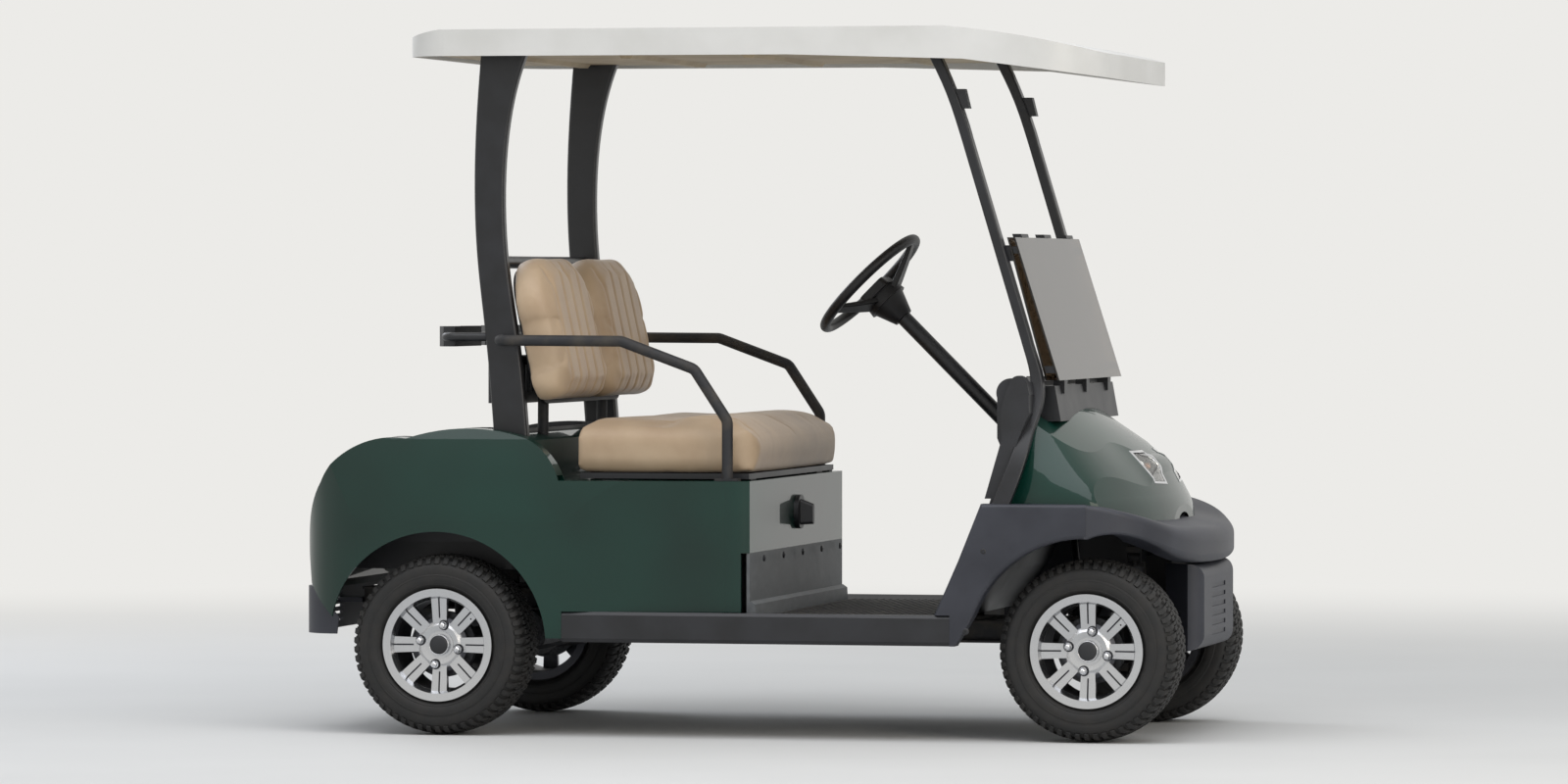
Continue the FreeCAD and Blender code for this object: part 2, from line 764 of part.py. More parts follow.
def cowl_bulge(inset):
    """The cowl's wide rounded form, before the hood is cut across it."""
    # x, half width at the foot, side (y, z), shoulder (y, z), crease (y, z), crest z
    table = (
        (650.0, cowl_half_base, (550.0, 690.0), (482.0, 826.0), (255.0, 925.0), 975.0),
        (840.0, cowl_half_base, (546.0, 670.0), (446.0, 752.0), (225.0, 797.0), 838.0),
        (941.0, 540.0, (522.0, 625.0), (400.0, 672.0), (186.0, 716.0), 758.0),
        (1005.0, 440.0, (402.0, 590.0), (310.0, 618.0), (205.0, 645.0), 690.0),
        (1050.0, 190.0, (168.0, 562.0), (136.0, 574.0), (90.0, 588.0), 604.0),
    )
    return loft([cowl_section(*row, inset) for row in table])


def hood_form(inset):
    """The hood's slope and the nose's front in side view, turned about an upright axis far behind."""
    down = inset * 1.2
    wire = outline(
        lambda x, z: V(x, 0, z),
        (620, cowl_foot_z - 10), (620, 950 - down), (970, 711 - down),
        (998 - inset, 694 - inset, 1010 - inset, 664), (1037 - inset, 612),
        (1051 - inset, 580, 1057 - inset, 540),
        (1057 - inset, cowl_foot_z - 10),
    )
    centre = V(hood_axis_x, 0, 0)
    face = Part.Face(wire)
    face.rotate(centre, V(0, 0, 1), -40)
    return face.revolve(centre, V(0, 0, 1), 80)


def cowl_form(inset):
    """The cowl's outer form, or its inside with an inset."""
    return cowl_bulge(inset).common(hood_form(inset))


def cowl_seam(gap):
    """The cowl's rear edge in side view, where it meets the dash and the door pillars."""
    points = [(752, 868), (753, 823), (725, 756), (704, 689), (667, band_top_z - 1)]
    return [(x + gap, z) for x, z in points]


def front_cowl():
    """The painted nose shell with its raised middle panel."""
    shell = cowl_form(0).cut(cowl_form(panel))
    seam = cowl_seam(seat_gap)
    trim = side_cut(-700, 700, (600, 500), (600, 960), (seam[0][0], 960), *(seam + [(seam[-1][0], 500)]))
    shell = shell.cut(trim)
    shell = shell.cut(box((600, 1300), (-700, 700), (400, cowl_foot_z + 2)))
    lamps = both(lamp_opening(lamp_bezel_width + seat_gap))
    for solid in both(front_strut(channel_gap)) + lamps + parts["front_fenders"]:
        shell = shell.cut(solid)
    keep("front_cowl", max(shell.Solids, key=lambda s: s.Volume))


def lamp_opening(grow):
    """The outline of the left headlamp, seen from ahead."""
    g = grow
    return end_cut(
        930, 1100,
        (86 - g, 716 + g), (94 - g, 642 - g), (186 + g, 646 - g), (168 + g, 716 + g),
    )


def headlamps():
    """Two clear lenses that follow the corners of the nose, each in a bright bezel."""
    lens = lamp_opening(0).common(cowl_form(1.0)).cut(cowl_form(5.0))
    keep("headlamps", *both(max(lens.Solids, key=lambda s: s.Volume)))
    ring = lamp_opening(lamp_bezel_width).common(cowl_form(-1.5)).cut(cowl_form(9.0))
    ring = ring.cut(lamp_opening(seat_gap))
    keep("headlamp_bezels", *both(max(ring.Solids, key=lambda s: s.Volume)))


def nose_spot(turn):
    """A point of the nose's edge in plan and its outward direction; the turn is in degrees from the side."""
    corner = V(nose_x - nose_corner_back, body_half_width - nose_corner_radius, 0)
    last = math.radians(nose_corner_turn)
    joint = corner + V(math.sin(last), math.cos(last), 0) * nose_corner_radius
    rise = nose_x - joint.x
    radius = (rise * rise + joint.y * joint.y) / (2 * rise)
    if turn <= nose_corner_turn:
        angle = math.radians(turn)
        outward = V(math.sin(angle), math.cos(angle), 0)
        return corner + outward * nose_corner_radius, outward
    y = joint.y * (90 - turn) / (90 - nose_corner_turn)
    centre = V(nose_x - radius, 0, 0)
    outward = (V(centre.x + math.sqrt(radius * radius - y * y), y, 0) - centre).normalize()
    return centre + outward * radius, outward


def lip_section(turn, start_x, depth, top_z, fall, top_radius, low_z, low_radius):
    """One section of the lip, with a rounded outer edge."""
    spot, outward = nose_spot(turn)
    if start_x:
        spot = V(start_x, body_half_width, 0)
    return outline(
        lambda u, z: spot + outward * u + V(0, 0, z),
        (-depth, top_z), (-top_radius, top_z - fall),
        (-top_radius * 0.28, top_z - fall - top_radius * 0.26, 0, top_z - fall - top_radius * 0.92),
        (0, low_z + low_radius), (-low_radius * 0.3, low_z + low_radius * 0.3, -low_radius, low_z),
        (-depth, low_z),
    )


def nose_lip():
    """The thick rounded lip that runs from one front arch round the nose to the other."""
    # turn in plan, x of the first one, depth, top z, fall of the top, top radius, low z, low radius
    table = (
        (0.0, front_axle_x + 5, fender_depth, band_top_z, 1.0, 10.0, 505.0, 5.0),
        (23.6, None, 62.0, 590.0, 3.0, 13.0, 522.0, 6.0),
        (50.0, None, 104.0, 571.0, 8.0, 22.0, 500.0, 10.0),
        (75.0, None, 118.0, 560.0, 16.0, 34.0, 466.0, 16.0),
        (82.6, None, 120.0, 553.0, 20.0, 40.0, 441.0, 20.0),
        (90.0, None, 116.0, 551.0, 22.0, 42.0, 440.0, 20.0),
    )
    left = [lip_section(*row) for row in table]
    right = [mirrored(wire) for wire in left[:-1]]
    return loft(left + right[::-1])


def front_fenders():
    """The charcoal moulding: nose lip, arch bands and door pillars."""
    low, high = body_half_width - fender_depth, body_half_width
    a = front_axle_x
    r = front_arch_radius
    turn = math.radians(36)
    foot_z = floor_z + 14 + seat_gap
    plate = side_cut(
        low, high,
        (520, foot_z), (540, 363), (580, 453), (638, band_top_z), (a + 10, band_top_z),
        (a + 10, axle_z + r), (a - r * math.sin(turn), axle_z + r * math.cos(turn), a - 274, foot_z),
        (a - 322, rocker_low_z), (fender_foot_x, rocker_low_z), (fender_foot_x, foot_z),
    )
    outer_edges = [
        e for e in plate.Edges
        if abs(e.CenterOfMass.y - high) < 0.1 and e.CenterOfMass.x < a - 5 and e.CenterOfMass.z > foot_z + 5
    ]
    plate = plate.makeFillet(10.0, outer_edges)
    plate = plate.cut(front_strut(channel_gap))
    lip = nose_lip().cut(rod(V(a, -high, axle_z), V(a, high, axle_z), r))
    keep("front_fenders", fuse([lip] + both(plate)))


def front_bumper():
    """The ribbed lower bumper between the front wheels."""
    low, high = 218.0, 438.0
    rear_x = frame_front_x + seat_gap
    front_x = nose_x - bumper_setback

    def block(t, low, high):
        return plan_cut(
            low, high,
            (rear_x, -186 + t), (front_x - 38 - t * 0.4, -247 + t),
            (front_x - 9 - t, -232 + t * 0.6, front_x - t, -170),
            (front_x - t, 170), (front_x - 9 - t, 232 - t * 0.6, front_x - 38 - t * 0.4, 247 - t),
            (rear_x, 186 - t),
        )

    def rounding(t):
        x, foot, top = front_x - t, low + t, high - t
        return side_cut(
            -300, 300,
            (1000, foot), (x - 42, foot), (x - 12, foot + 12, x, foot + 42),
            (x, top - 34), (x - 10, top - 10, x - 34, top), (1000, top),
        )

    shell = block(0, low, high).common(rounding(0)).cut(block(panel, low, high).common(rounding(panel)))
    for i in range(6):
        z = low + 35 + i * 24.0
        shell = shell.cut(box((front_x - 3, front_x + 5), (-100, 100), (z, z + 11)))
    reach = rail_y + rail_width / 2
    bracket = box((rear_x, front_x - 3), (-reach, reach), (rail_low_z + 8, rail_low_z + 14))
    keep("front_bumper", fuse([shell, bracket]))


def dashboard():
    """The black dash with its pockets, cup holders and rounded ends."""
    half = body_half_width - fender_depth - seat_gap
    end = side_cut(
        half - 34, half,
        (640, band_top_z + 12), (684, 760), (686, 850, 704, 896), (724, 916, 747, 900), (754, 868),
        (760, 800), (760, band_top_z + 12),
    )
    low = 706.0
    body = side_cut(
        -half + 20, half - 20,
        (690, low), (668, 760), (668, 860), (678, 900, 712, 908), (746, 900), (754, 868), (760, 800),
        (760, low),
    )
    seam = cowl_seam(0)
    ahead = side_cut(-700, 700, *(seam + [(900, band_top_z - 1), (900, 868)]))
    pockets = [box((650, 728), (y - 125, y + 125), (780, 862)) for y in (-330.0, 330.0)]
    pockets.append(box((650, 716), (-110, 110), (745, 800)))
    cup_x = 710.0
    collars = [rod(V(cup_x, y, 870), V(cup_x, y, 910), cup_radius + 4) for y in (-cup_y, cup_y)]
    pockets += [rod(V(cup_x, y, 840), V(cup_x, y, 920), cup_radius) for y in (-cup_y, cup_y)]
    shape = fuse([body] + both(end) + collars).cut(ahead).cut(pockets)
    for solid in both(front_strut(channel_gap)) + parts["front_fenders"] + parts["floor_pan"]:
        shape = shape.cut(solid)
    keep("dashboard", max(shape.Solids, key=lambda s: s.Volume))


def pedals():
    """Accelerator and brake."""
    pieces = []
    for y, half_width, x, z in ((150.0, 32.0, 560.0, 420.0), (262.0, 46.0, 552.0, 430.0)):
        pad = box((-6, 6), (-half_width, half_width), (-58, 58))
        pad = pad.makeFillet(4.0, pad.Edges)
        pad.rotate(V(0, 0, 0), V(0, 1, 0), 28)
        pad.translate(V(x - 30, y, z))
        stem = rod(V(x - 30, y, z - 20), V(x + 42, y, z + 4), 8.0)
        pieces.append(fuse([pad, stem]).cut(parts["floor_pan"][0]).Solids[0])
    keep("pedals", *pieces)


def rear_form(inset):
    """The rear body's outer form, or its inside with an inset."""
    t = inset
    below = 20.0 if t > 0 else 0.0
    side = side_cut(
        -700, 700,
        (seat_front_x - t, 250 - below), (seat_front_x - t, seat_base_top_z - t),
        (-452 + t * 0.4, seat_base_top_z - t),
        (-478 + t * 0.4, 700 - t, -540, 752 - t), (-700, 778 - t, -860, 752 - t),
        (-1010, 722 - t, tail_x + 69 + t, 640 - t), (tail_x + 29 + t, 560, tail_x + 25 + t, 430),
        (tail_x + 33 + t, 380),
        (tail_x + 65, 340 - below), (-1000, 250 - below),
    )
    h = body_half_width - t
    plan = plan_cut(
        200, 900,
        (seat_front_x - t, -h + 58), (seat_front_x - 20 - t, -h + 44, seat_front_x - 60, -h + 40),
        (-420, -h), (-980, -h), (tail_x + 45 + t, -h + 70, tail_x + 17 + t, -h + 250),
        (tail_x + 5 + t, 0, tail_x + 17 + t, h - 250),
        (tail_x + 45 + t, h - 70, -980, h), (-420, h), (seat_front_x - 60, h - 40),
        (seat_front_x - 20 - t, h - 44, seat_front_x - t, h - 58),
    )
    ends = end_cut(
        -1300, 200,
        (-h, 200), (-h, 470), (-h + 12, 640, -h + 64, 800), (h - 64, 800), (h - 12, 640, h, 470), (h, 200),
    )
    recess = box(
        (seat_recess_x - t, -440 + t), (-cushion_half_width - 12 - t, cushion_half_width + 12 + t),
        (seat_base_top_z - t, 900),
    )
    return side.common(plan).common(ends).cut(recess)


def rear_body():
    """The painted rear shell with its wheel arches, seat opening and bag opening."""
    shell = rear_form(0).cut(rear_form(panel + 1))
    shell = shell.cut(rod(V(rear_axle_x, -800, axle_z), V(rear_axle_x, 800, axle_z), arch_radius))
    shell = shell.cut(rounded_plan((-404, -34), (-470, 470), (500, 700), 30))
    well = bag_well_form(seat_gap, 900)
    shell = shell.cut(well)
    shell = shell.cut(box((-1300, 60), (-700, 700), (150, rocker_low_z + 6)))
    sill = box((rocker_rear_x - seat_gap, 60), (body_half_width - 56.3, 700), (200, floor_z + 14 + seat_gap))
    shell = shell.cut([sill, mirrored(sill)])
    shell = shell.cut(box((seat_front_x - 20, 80), (-700, 700), (200, kick_top_z + seat_gap)))
    keep("rear_body", max(shell.Solids, key=lambda s: s.Volume))


def kick_panel():
    """The grey lower panel in front of the seat box, with a step at its foot."""
    half = body_half_width - 58
    x = seat_front_x
    z = floor_z + seat_gap
    plate = box((x - 8, x), (-half, half), (z, kick_top_z))
    lip = box((x - 14, x - 6 - seat_gap), (-half + 30, half - 30), (z, kick_top_z + 30))
    foot = side_cut(-half, half, (x - 8, z), (x - 8, z + 34), (x + 2, z + 42), (x + 14, z + 34), (x + 16, z))
    keep("kick_panel", fuse([plate, lip, foot]))


def bag_well_form(grow, top_z):
    """The bag well's outer form: narrow between the wheels, wide above them."""
    g = grow
    x = (bag_rear_x - g, bag_front_x + g)
    low = rounded_plan(x, (-bag_low_half - g, bag_low_half + g), (bag_floor_z - g, top_z), 50)
    high = rounded_plan(x, (-bag_high_half - g, bag_high_half + g), (bag_step_z - g, top_z), 50)
    return low.fuse(high).removeSplitter()


def bag_well():
    """The open tub behind the seats, low at the rear."""
    rim = rear_body_top(1)
    tub = bag_well_form(0, 800).common(rim).cut(bag_well_form(-panel, 900))
    notch = side_cut(-300, 300, (-1200, 590), (-1060, 600), (-1010, 800), (-1200, 800))
    ribs = [
        box((bag_rear_x + 40, bag_front_x - 40), (y - 5, y + 5), (bag_floor_z + 4, bag_floor_z + 13))
        for y in (-300, -220, -140, 140, 220, 300)
    ]
    divider = box((bag_rear_x + 3, bag_front_x - 3), (-8, 8), (bag_floor_z + 4, bag_floor_z + 80))
    keep("bag_well", fuse([tub.cut(notch), divider] + ribs))


def rear_body_top(lift):
    """Everything below the rear body's top surface, raised a little."""
    return side_cut(
        -700, 700,
        (-500, 200), (-500, 752 + lift), (-700, 778 + lift, -860, 752 + lift),
        (-1010, 722 + lift, tail_x + 69, 640 + lift),
        (tail_x + 29, 560, tail_x + 20, 430), (tail_x + 20, 200),
    )


def rear_bumper():
    """The charcoal bumper and lower skirt at the tail."""
    low, high = 252.0, 372.0
    half = body_half_width - 72

    def block(t, low, high):
        return plan_cut(
            low, high,
            (-1010, -half + t), (tail_x + 85, -half + 5 + t),
            (tail_x + 25 + t, -half + 40 + t, tail_x + 11 + t, -half + 140),
            (tail_x + t, 0, tail_x + 11 + t, half - 140),
            (tail_x + 25 + t, half - 40 - t, tail_x + 85, half - 5 - t), (-1010, half - t),
        )

    t = panel + 1
    shell = block(0, low, high).cut(block(t, low - 1, high - t))
    shell = shell.cut(box((-1020, -1000), (-half + 11, half - 11), (200, 400)))
    shell = shell.cut(rod(V(rear_axle_x, -800, axle_z), V(rear_axle_x, 800, axle_z), arch_radius - 4))
    for i in range(5):
        z = low + 18 + i * 18.0
        slot = box((tail_x - 15, tail_x + 20), (150, 320), (z, z + 7))
        shell = shell.cut([slot, mirrored(slot)])
    shell = shell.cut(rear_form(-seat_gap))
    rail_end = -1085.0 - seat_gap
    bracket = [box((tail_x + 4, rail_end), (y - 25, y + 25),
        (rail_high_z - 12, rail_high_z)) for y in (-rail_y, rail_y)]
    keep("rear_bumper", fuse([shell] + bracket))


def tail_lamps():
    """Two red lamps on the rear corners."""
    lamp = rounded_side((-1200, -1100), (340, 420), (500, 545),
        8).common(rear_form(-8)).cut(rear_form(-seat_gap))
    keep("tail_lamps", *both(lamp))


def direction_switch():
    """The drive selector on the seat box."""
    x = seat_front_x
    bezel = rod(V(x + 0.3, 0, 556), V(x + 12, 0, 556), 44.0)
    knob = loft([
        section(V(x + 10, 0, 556), V(0, 1, 0), V(0, 0, 1), 15.0, 34.0, 8.0),
        section(V(x + 44, 0, 550), V(0, 1, 0), V(0, 0, 1), 10.0, 26.0, 8.0),
    ])
    keep("direction_switch", fuse([bezel, knob]))


# Seats


def seat_cushion():
    """The bench cushion on its hinged board."""
    low = seat_base_top_z + lid_board_thickness + 4.3
    block = side_cut(
        -cushion_half_width, cushion_half_width,
        (cushion_rear_x, low), (cushion_rear_x, cushion_top_z - 26),
        (cushion_rear_x + 10, cushion_top_z - 8, cushion_rear_x + 34, cushion_top_z - 4),
        (-200, cushion_top_z - 12), (-60, cushion_top_z, 6, cushion_top_z - 12),
        (44, cushion_top_z - 38, 50, low + 44), (40, low),
    )
    h, top = cushion_half_width, cushion_top_z
    ends = end_cut(
        cushion_rear_x - 10, 80,
        (-h + 12, low), (-h, low + 30), (-h, top - 60), (-h + 12, top - 22, -h + 48, top - 4),
        (-60, top + 2, 0, top - 6),
        (60, top + 2, h - 48, top - 4), (h - 12, top - 22, h, top - 60), (h, low + 30), (h - 12, low),
    )
    plan = plan_cut(
        low - 5, top + 20,
        (cushion_rear_x - 5, -h), (-30, -h), (26, -h + 18, 52, -h + 70), (52, h - 70), (26, h - 18, -30, h),
        (cushion_rear_x - 5, h),
    )
    keep("seat_cushion", block.common(ends).common(plan))
    board = box((cushion_rear_x + 14, 22), (-cushion_half_width + 14, cushion_half_width - 14),
        (seat_base_top_z + 4, seat_base_top_z + 4 + lid_board_thickness))
    hinges = []
    for y in (-330, 330):
        hinges.append(rod(V(lid_hinge_x, y - 28, seat_base_top_z + lid_hinge_lift),
            V(lid_hinge_x, y + 28, seat_base_top_z + lid_hinge_lift), 5.5))
    pads = [box((-20, 8), (y - 30, y + 30), (seat_base_top_z + 0.3, seat_base_top_z + 6)) for y in (-380,
        380)]
    keep("seat_board", fuse([board] + hinges + pads))


def tilted(shape):
    """Leans a seat-back piece, built upright, about the foot of the back."""
    shape = shape.copy()
    shape.rotate(seat_back_foot, V(0, 1, 0), -back_tilt)
    return shape


def seat_backs():
    """Two cushions, the shell behind them and its legs."""
    cushions = []
    for y in (258.0, -258.0):
        wires = []
        for x, shrink in ((-452.0, 26.0), (-466.0, 6.0), (-520.0, 0.0), (-538.0, 6.0)):
            half = 238 - shrink
            low, high = 852 + shrink, 1236 - shrink
            waist = 880 + shrink * 0.5
            wires.append(outline(
                lambda a, b, x=x: V(x, y + a, b),
                (-half + 60, low), (half - 60, low), (half - 10, low + 16, half, waist + 60),
                (half - 4, 1060), (half - 36, high - 40, half - 120, high), (-half + 120, high),
                (-half + 36, high - 40, -half + 4, 1060), (-half, waist + 60),
                (-half + 10, low + 16, -half + 60, low),
            ))
        cushions.append(tilted(loft(wires)))
    keep("seat_backs", *cushions)
    rear = back_shell_x - back_shell_thickness
    keep("seat_back_shell", tilted(rounded_side((rear, back_shell_x), (-back_shell_half, back_shell_half),
        (858, 1206), 90)))
    legs = []
    for y in (-seat_leg_y, seat_leg_y):
        spots = [tilt_point(V(rear - seat_leg_radius - seat_gap, y, z)) for z in (1120, 880)]
        foot = V(seat_leg_foot_x, y, seat_base_top_z)
        legs.append(bent_tube(spots + [foot], seat_leg_radius, 60).cut(rear_form(-seat_gap)))
    keep("seat_back_legs", *[max(leg.Solids, key=lambda s: s.BoundBox.ZMax) for leg in legs])


def tilt_point(point):
    """A point of the upright seat back, leaned with it."""
    return FreeCAD.Placement(V(), FreeCAD.Rotation(V(0, 1, 0), -back_tilt), seat_back_foot).multVec(point)


def rounded_side(x, y, z, radius):
    """A plate across the cart with rounded corners."""
    block = box(x, y, z)
    along = [e for e in block.Edges if abs(e.tangentAt(e.FirstParameter).x) > 0.99]
    return block.makeFillet(radius, along)


def hip_restraints():
    """Curved side rails from the rear struts to the seat box."""
    y = cushion_half_width + 28
    strut_face = rear_strut_y + rear_strut_width / 2 + seat_gap
    top = seat_base_top_z + seat_gap
    rail = bent_tube(
        [V(-624, strut_face, 1002), V(-624, y, 1002), V(-300, y, 1000), V(-110, y, 930), V(-24, y, 800),
            V(-24, y, top)],
        14.0, 30,
    )
    flange = box((-54, 6), (y - 20, y + 16), (top, top + 6))
    keep("hip_restraints", *both(fuse([rail, flange])))


# Roof, struts and windshield


def roof_form(inset, low, high):
    """The roof's rounded plan, between two heights."""
    half = roof_half_width - inset
    block = box((roof_rear_x + inset, roof_front_x - inset), (-half, half), (low, high))
    upright = [e for e in block.Edges if abs(e.tangentAt(e.FirstParameter).z) > 0.99]
    front = [e for e in upright if e.CenterOfMass.x > 0]
    block = block.makeFillet(roof_front_corner - inset, front)
    rear = [e for e in block.Edges if e.BoundBox.XMax < roof_rear_x + inset + 1 and e.BoundBox.ZLength > 1]
    return block.makeFillet(roof_rear_corner - inset, rear)


def roof():
    """The moulded roof: a rounded edge that droops at the front, and a crowned top."""
    def profile(t, drop):
        rear = roof_rear_x - 10
        front = roof_front_x + 10
        side = side_cut(
            -700, 700,
            (rear, roof_low_z - drop), (rear, roof_top_z - 30 - t),
            (rear + 120, roof_top_z - 6 - t, rear + 320, roof_top_z - t), (front - 535, roof_top_z - t),
            (front - 295, roof_top_z - 19 - t, front, roof_top_z - 77 - t), (front, roof_low_z - 62 - drop),
            (front - 345, roof_low_z - 16 - drop), (front - 796, roof_low_z - 2 - drop),
        )
        reach = roof_half_width + crown_overrun
        edge_z = roof_top_z - roof_edge_drop * (reach / roof_half_width) ** 2 - t
        across = end_cut(
            -1000, 1000,
            (-reach, roof_low_z - 200), (-reach, edge_z),
            (0, roof_top_z - t, reach, edge_z), (reach, roof_low_z - 200),
        )
        return side.common(across)

    outer = roof_form(0, roof_low_z - 100, roof_top_z + 40).common(profile(0, 0))
    inner = roof_form(roof_wall, roof_low_z - 120, roof_top_z + 20).common(profile(roof_wall, 80))
    shell = outer.cut(inner)
    keep("roof", shell)
    keep("roof_liner", *roof_ribs())


def roof_ribs():
    """The stiffening frame under the roof that the struts bolt to."""
    low = strut_top_z + seat_gap
    high = low + 10
    plate = rounded_plan((roof_rear_x + 40, roof_front_x - 330),
        (-roof_half_width + 60, roof_half_width - 60), (low, high), 60)
    pieces = [plate]
    for x in (-640, -320, 0, 320):
        pieces.append(side_cut(-400, 400, (x - 22, low + 1), (x - 12, low - 10), (x + 12, low - 10),
            (x + 22, low + 1)))
    ceiling = parts["roof"][0]
    for y in (-300, 300):
        rib = box((roof_rear_x + 60, roof_front_x - 400), (y - 16, y + 16), (high - 2, roof_top_z + 20))
        rib = rib.common(roof_form(roof_wall + 1, high - 2, roof_top_z + 30)).cut(ceiling)
        pieces.append(min(rib.Solids, key=lambda s: s.CenterOfMass.z))
    return [fuse(pieces)]


def strut_line(z):
    """The front strut's straight middle line, as x at a height."""
    return 745.0 - (z - 945.0) * math.tan(math.radians(strut_slope))


def front_strut(grow):
    """The left front strut, or its channel with a growth."""
    y = front_strut_y
    deep = strut_half_depth
    wide = strut_half_width
    foot_y = body_half_width - 11
    # x, y, z, half depth, half width, lean
    top = [
        (482.0, y, strut_top_z + 12, 14.0, wide, 42.0),
        (501.0, y, 1702.0, 13.5, wide, 34.0),
        (524.0, y, 1652.0, deep, wide, 24.0),
        (546.0, y, 1597.0, deep, wide, strut_slope + 3),
        (strut_line(1509), y, 1509.0, deep, wide, strut_slope),
    ]
    low = [
        (strut_line(1010), y, 1010.0, deep, wide, strut_slope),
        (strut_line(970), y + 1, 970.0, deep, wide, strut_slope),
        (strut_line(925), y + 6, 925.0, 14.0, wide, strut_slope - 4),
        (758.0, y + 18, 880.0, 16.0, 18.0, 2.0),
        (745.0, y + 62, 792.0, 17.0, 15.0, -10.0),
        (725.0, y + 108, 703.0, 20.0, 12.0, -20.0),
        (694.0, foot_y - 11, 612.0, 21.0, 10.0, -23.0),
        (654.0, foot_y, 505.0, 20.0, 7.0, -22.0),
        (641.0, foot_y, 470.0, 18.0, 7.0, -20.0),
    ]
    runs = [swept_bar([(*row[:3], row[3] + grow, row[4] + grow, row[5]) for row in rows], 4.0)
            for rows in (top, [top[-1], low[0]], low)]
    return fuse(runs)


def front_struts():
    """Two struts from the roof, past the windshield, down to the arch bands."""
    above = box((400, 700), (0, 500), (strut_top_z, strut_top_z + 50))
    keep("front_struts", *both(front_strut(0).cut(above)))


def rear_strut():
    """The left rear strut, bowed backwards in the middle."""
    y = rear_strut_y
    # x, z, half depth
    table = (
        (-598.0, 690.0, 44.0), (-612.0, 860.0, 44.0), (-628.0, 1010.0, 42.0), (-652.0, 1200.0, 39.0),
        (-660.0, 1400.0, 39.0), (-646.0, 1600.0, 46.0), (-622.0, strut_top_z, 60.0),
    )
    half = rear_strut_width / 2
    return swept_bar([(x, y, z, depth, half, 0.0) for x, z, depth in table], 8.0)


def rear_struts():
    """Two bowed struts from the body up to the roof, and the bar between them."""
    inner = rear_strut_y - rear_strut_width / 2
    strut = rear_strut().cut(rear_form(-seat_gap))
    strut = max(strut.Solids, key=lambda s: s.Volume)
    bar = rod(V(-652, -inner - 4, 1200), V(-652, inner + 4, 1200), 16.0)
    keep("rear_struts", fuse(both(strut) + [bar]))


def bag_rack():
    """The saddle rail behind the seats that golf bags lean on."""
    z = 1010.0
    y = rear_strut_y
    path = [V(-640, -y, z), V(-780, -y, z), V(-800, -330, z), V(-800, 330, z), V(-780, y, z), V(-640, y, z)]
    rail = bent_tube(path, 11.0, 30)
    for strut in both(rear_strut()):
        rail = rail.cut(strut)
    pieces = [max(rail.Solids, key=lambda s: s.Volume)]
    for y in (-200.0, 200.0):
        pieces.append(plan_cut(
            z - 26, z + 26,
            (-792, y - 130), (-822, y - 128), (-840, y - 100), (-816, y, -840, y + 100), (-822, y + 128),
            (-792, y + 130),
        ))
    keep("bag_rack", fuse(pieces))


def sweater_basket():
    """The slotted basket behind the seat backs, hung on the seat legs."""
    front = -601.0
    outer = rounded_plan((front - 84, front), (-404, 404), (840, 960), 14)
    basket = outer.cut(rounded_plan((front - 81, front - 3), (-401, 401), (843, 980), 11))
    slots = []
    for i in range(17):
        y = -368 + i * 46.0
        slots.append(box((front - 90, front + 6), (y - 15, y + 15), (868, 938)))
    keep("sweater_basket", basket.cut(slots))


def along_windshield(y, z, near, far):
    """A plate in front of the struts' faces; near and far are its offsets from them, low end and high end."""
    reach = strut_half_depth / math.cos(math.radians(strut_slope))
    low, high = strut_line(z[0]) + reach, strut_line(z[1]) + reach
    return side_cut(
        y[0], y[1],
        (low + near[0], z[0]), (low + far[0], z[0]), (high + far[1], z[1]), (high + near[1], z[1]),
    )


def windshield():
    """Two tinted panes, the upper one folded down in front of the lower, with clips, catches and a sill."""
    t = pane_thickness
    gap = 5 * seat_gap
    y = (-pane_half_width, pane_half_width)
    z = (pane_low_z, pane_high_z)
    rear = (gap, gap + pane_lean)
    front = (rear[0] + t + pane_gap_low, rear[1] + t + pane_gap_high)
    keep("windshield_lower", along_windshield(y, z, rear, (rear[0] + t, rear[1] + t)))
    keep("windshield_upper", along_windshield(y, z, front, (front[0] + t, front[1] + t)))

    def between(height):
        share = (height - z[0]) / (z[1] - z[0])
        return (rear[0] + share * (rear[1] - rear[0]) + t + seat_gap,
            front[0] + share * (front[1] - front[0]) - seat_gap)

    clips = []
    for middle in (-300.0, 0.0, 300.0):
        clips.append(along_windshield(
            (middle - 45, middle + 45), (pane_high_z + seat_gap, pane_high_z + 9),
            (rear[1] - 1, rear[1] - 1), (front[1] + t + 1, front[1] + t + 1),
        ))
    for side in (1, -1):
        for height in (930.0, 1230.0):
            middle = side * (pane_half_width - 20)
            low, high = between(height - 9), between(height + 9)
            clips.append(along_windshield(
                (middle - 14, middle + 14), (height - 9, height + 9), (low[0], high[0]), (low[1], high[1]),
            ))
        spacer = along_windshield(
            (side * front_strut_y - 22, side * front_strut_y - 10) if side > 0 else (-front_strut_y + 10,
                -front_strut_y + 22),
            (pane_high_z - 60, pane_high_z - 20), (0.3, 0.3), (rear[1] - 2, rear[1] - 2),
        )
        clips.append(spacer)
        catch = side_cut(
            side * front_strut_y - 14, side * front_strut_y + 14,
            (540, 1585), (582, 1585), (570, 1634), (528, 1634),
        )
        for strut in both(front_strut(seat_gap)):
            catch = catch.cut(strut)
        clips.append(max(catch.Solids, key=lambda s: s.CenterOfMass.x))
    keep("windshield_clips", *clips)
    top = pane_low_z - 14
    sill = side_cut(-400, 400, (756, 800), (756, top), (790, top), (806, 800))
    posts = [box((771, 800), (middle - 20, middle + 20),
        (top - 20, pane_low_z - seat_gap)) for middle in (-300.0, 0.0, 300.0)]
    sill = fuse([sill] + posts).cut(cowl_form(-seat_gap))
    for strut in both(front_strut(channel_gap)):
        sill = sill.cut(strut)
    keep("windshield_sill", max(sill.Solids, key=lambda s: s.Volume))


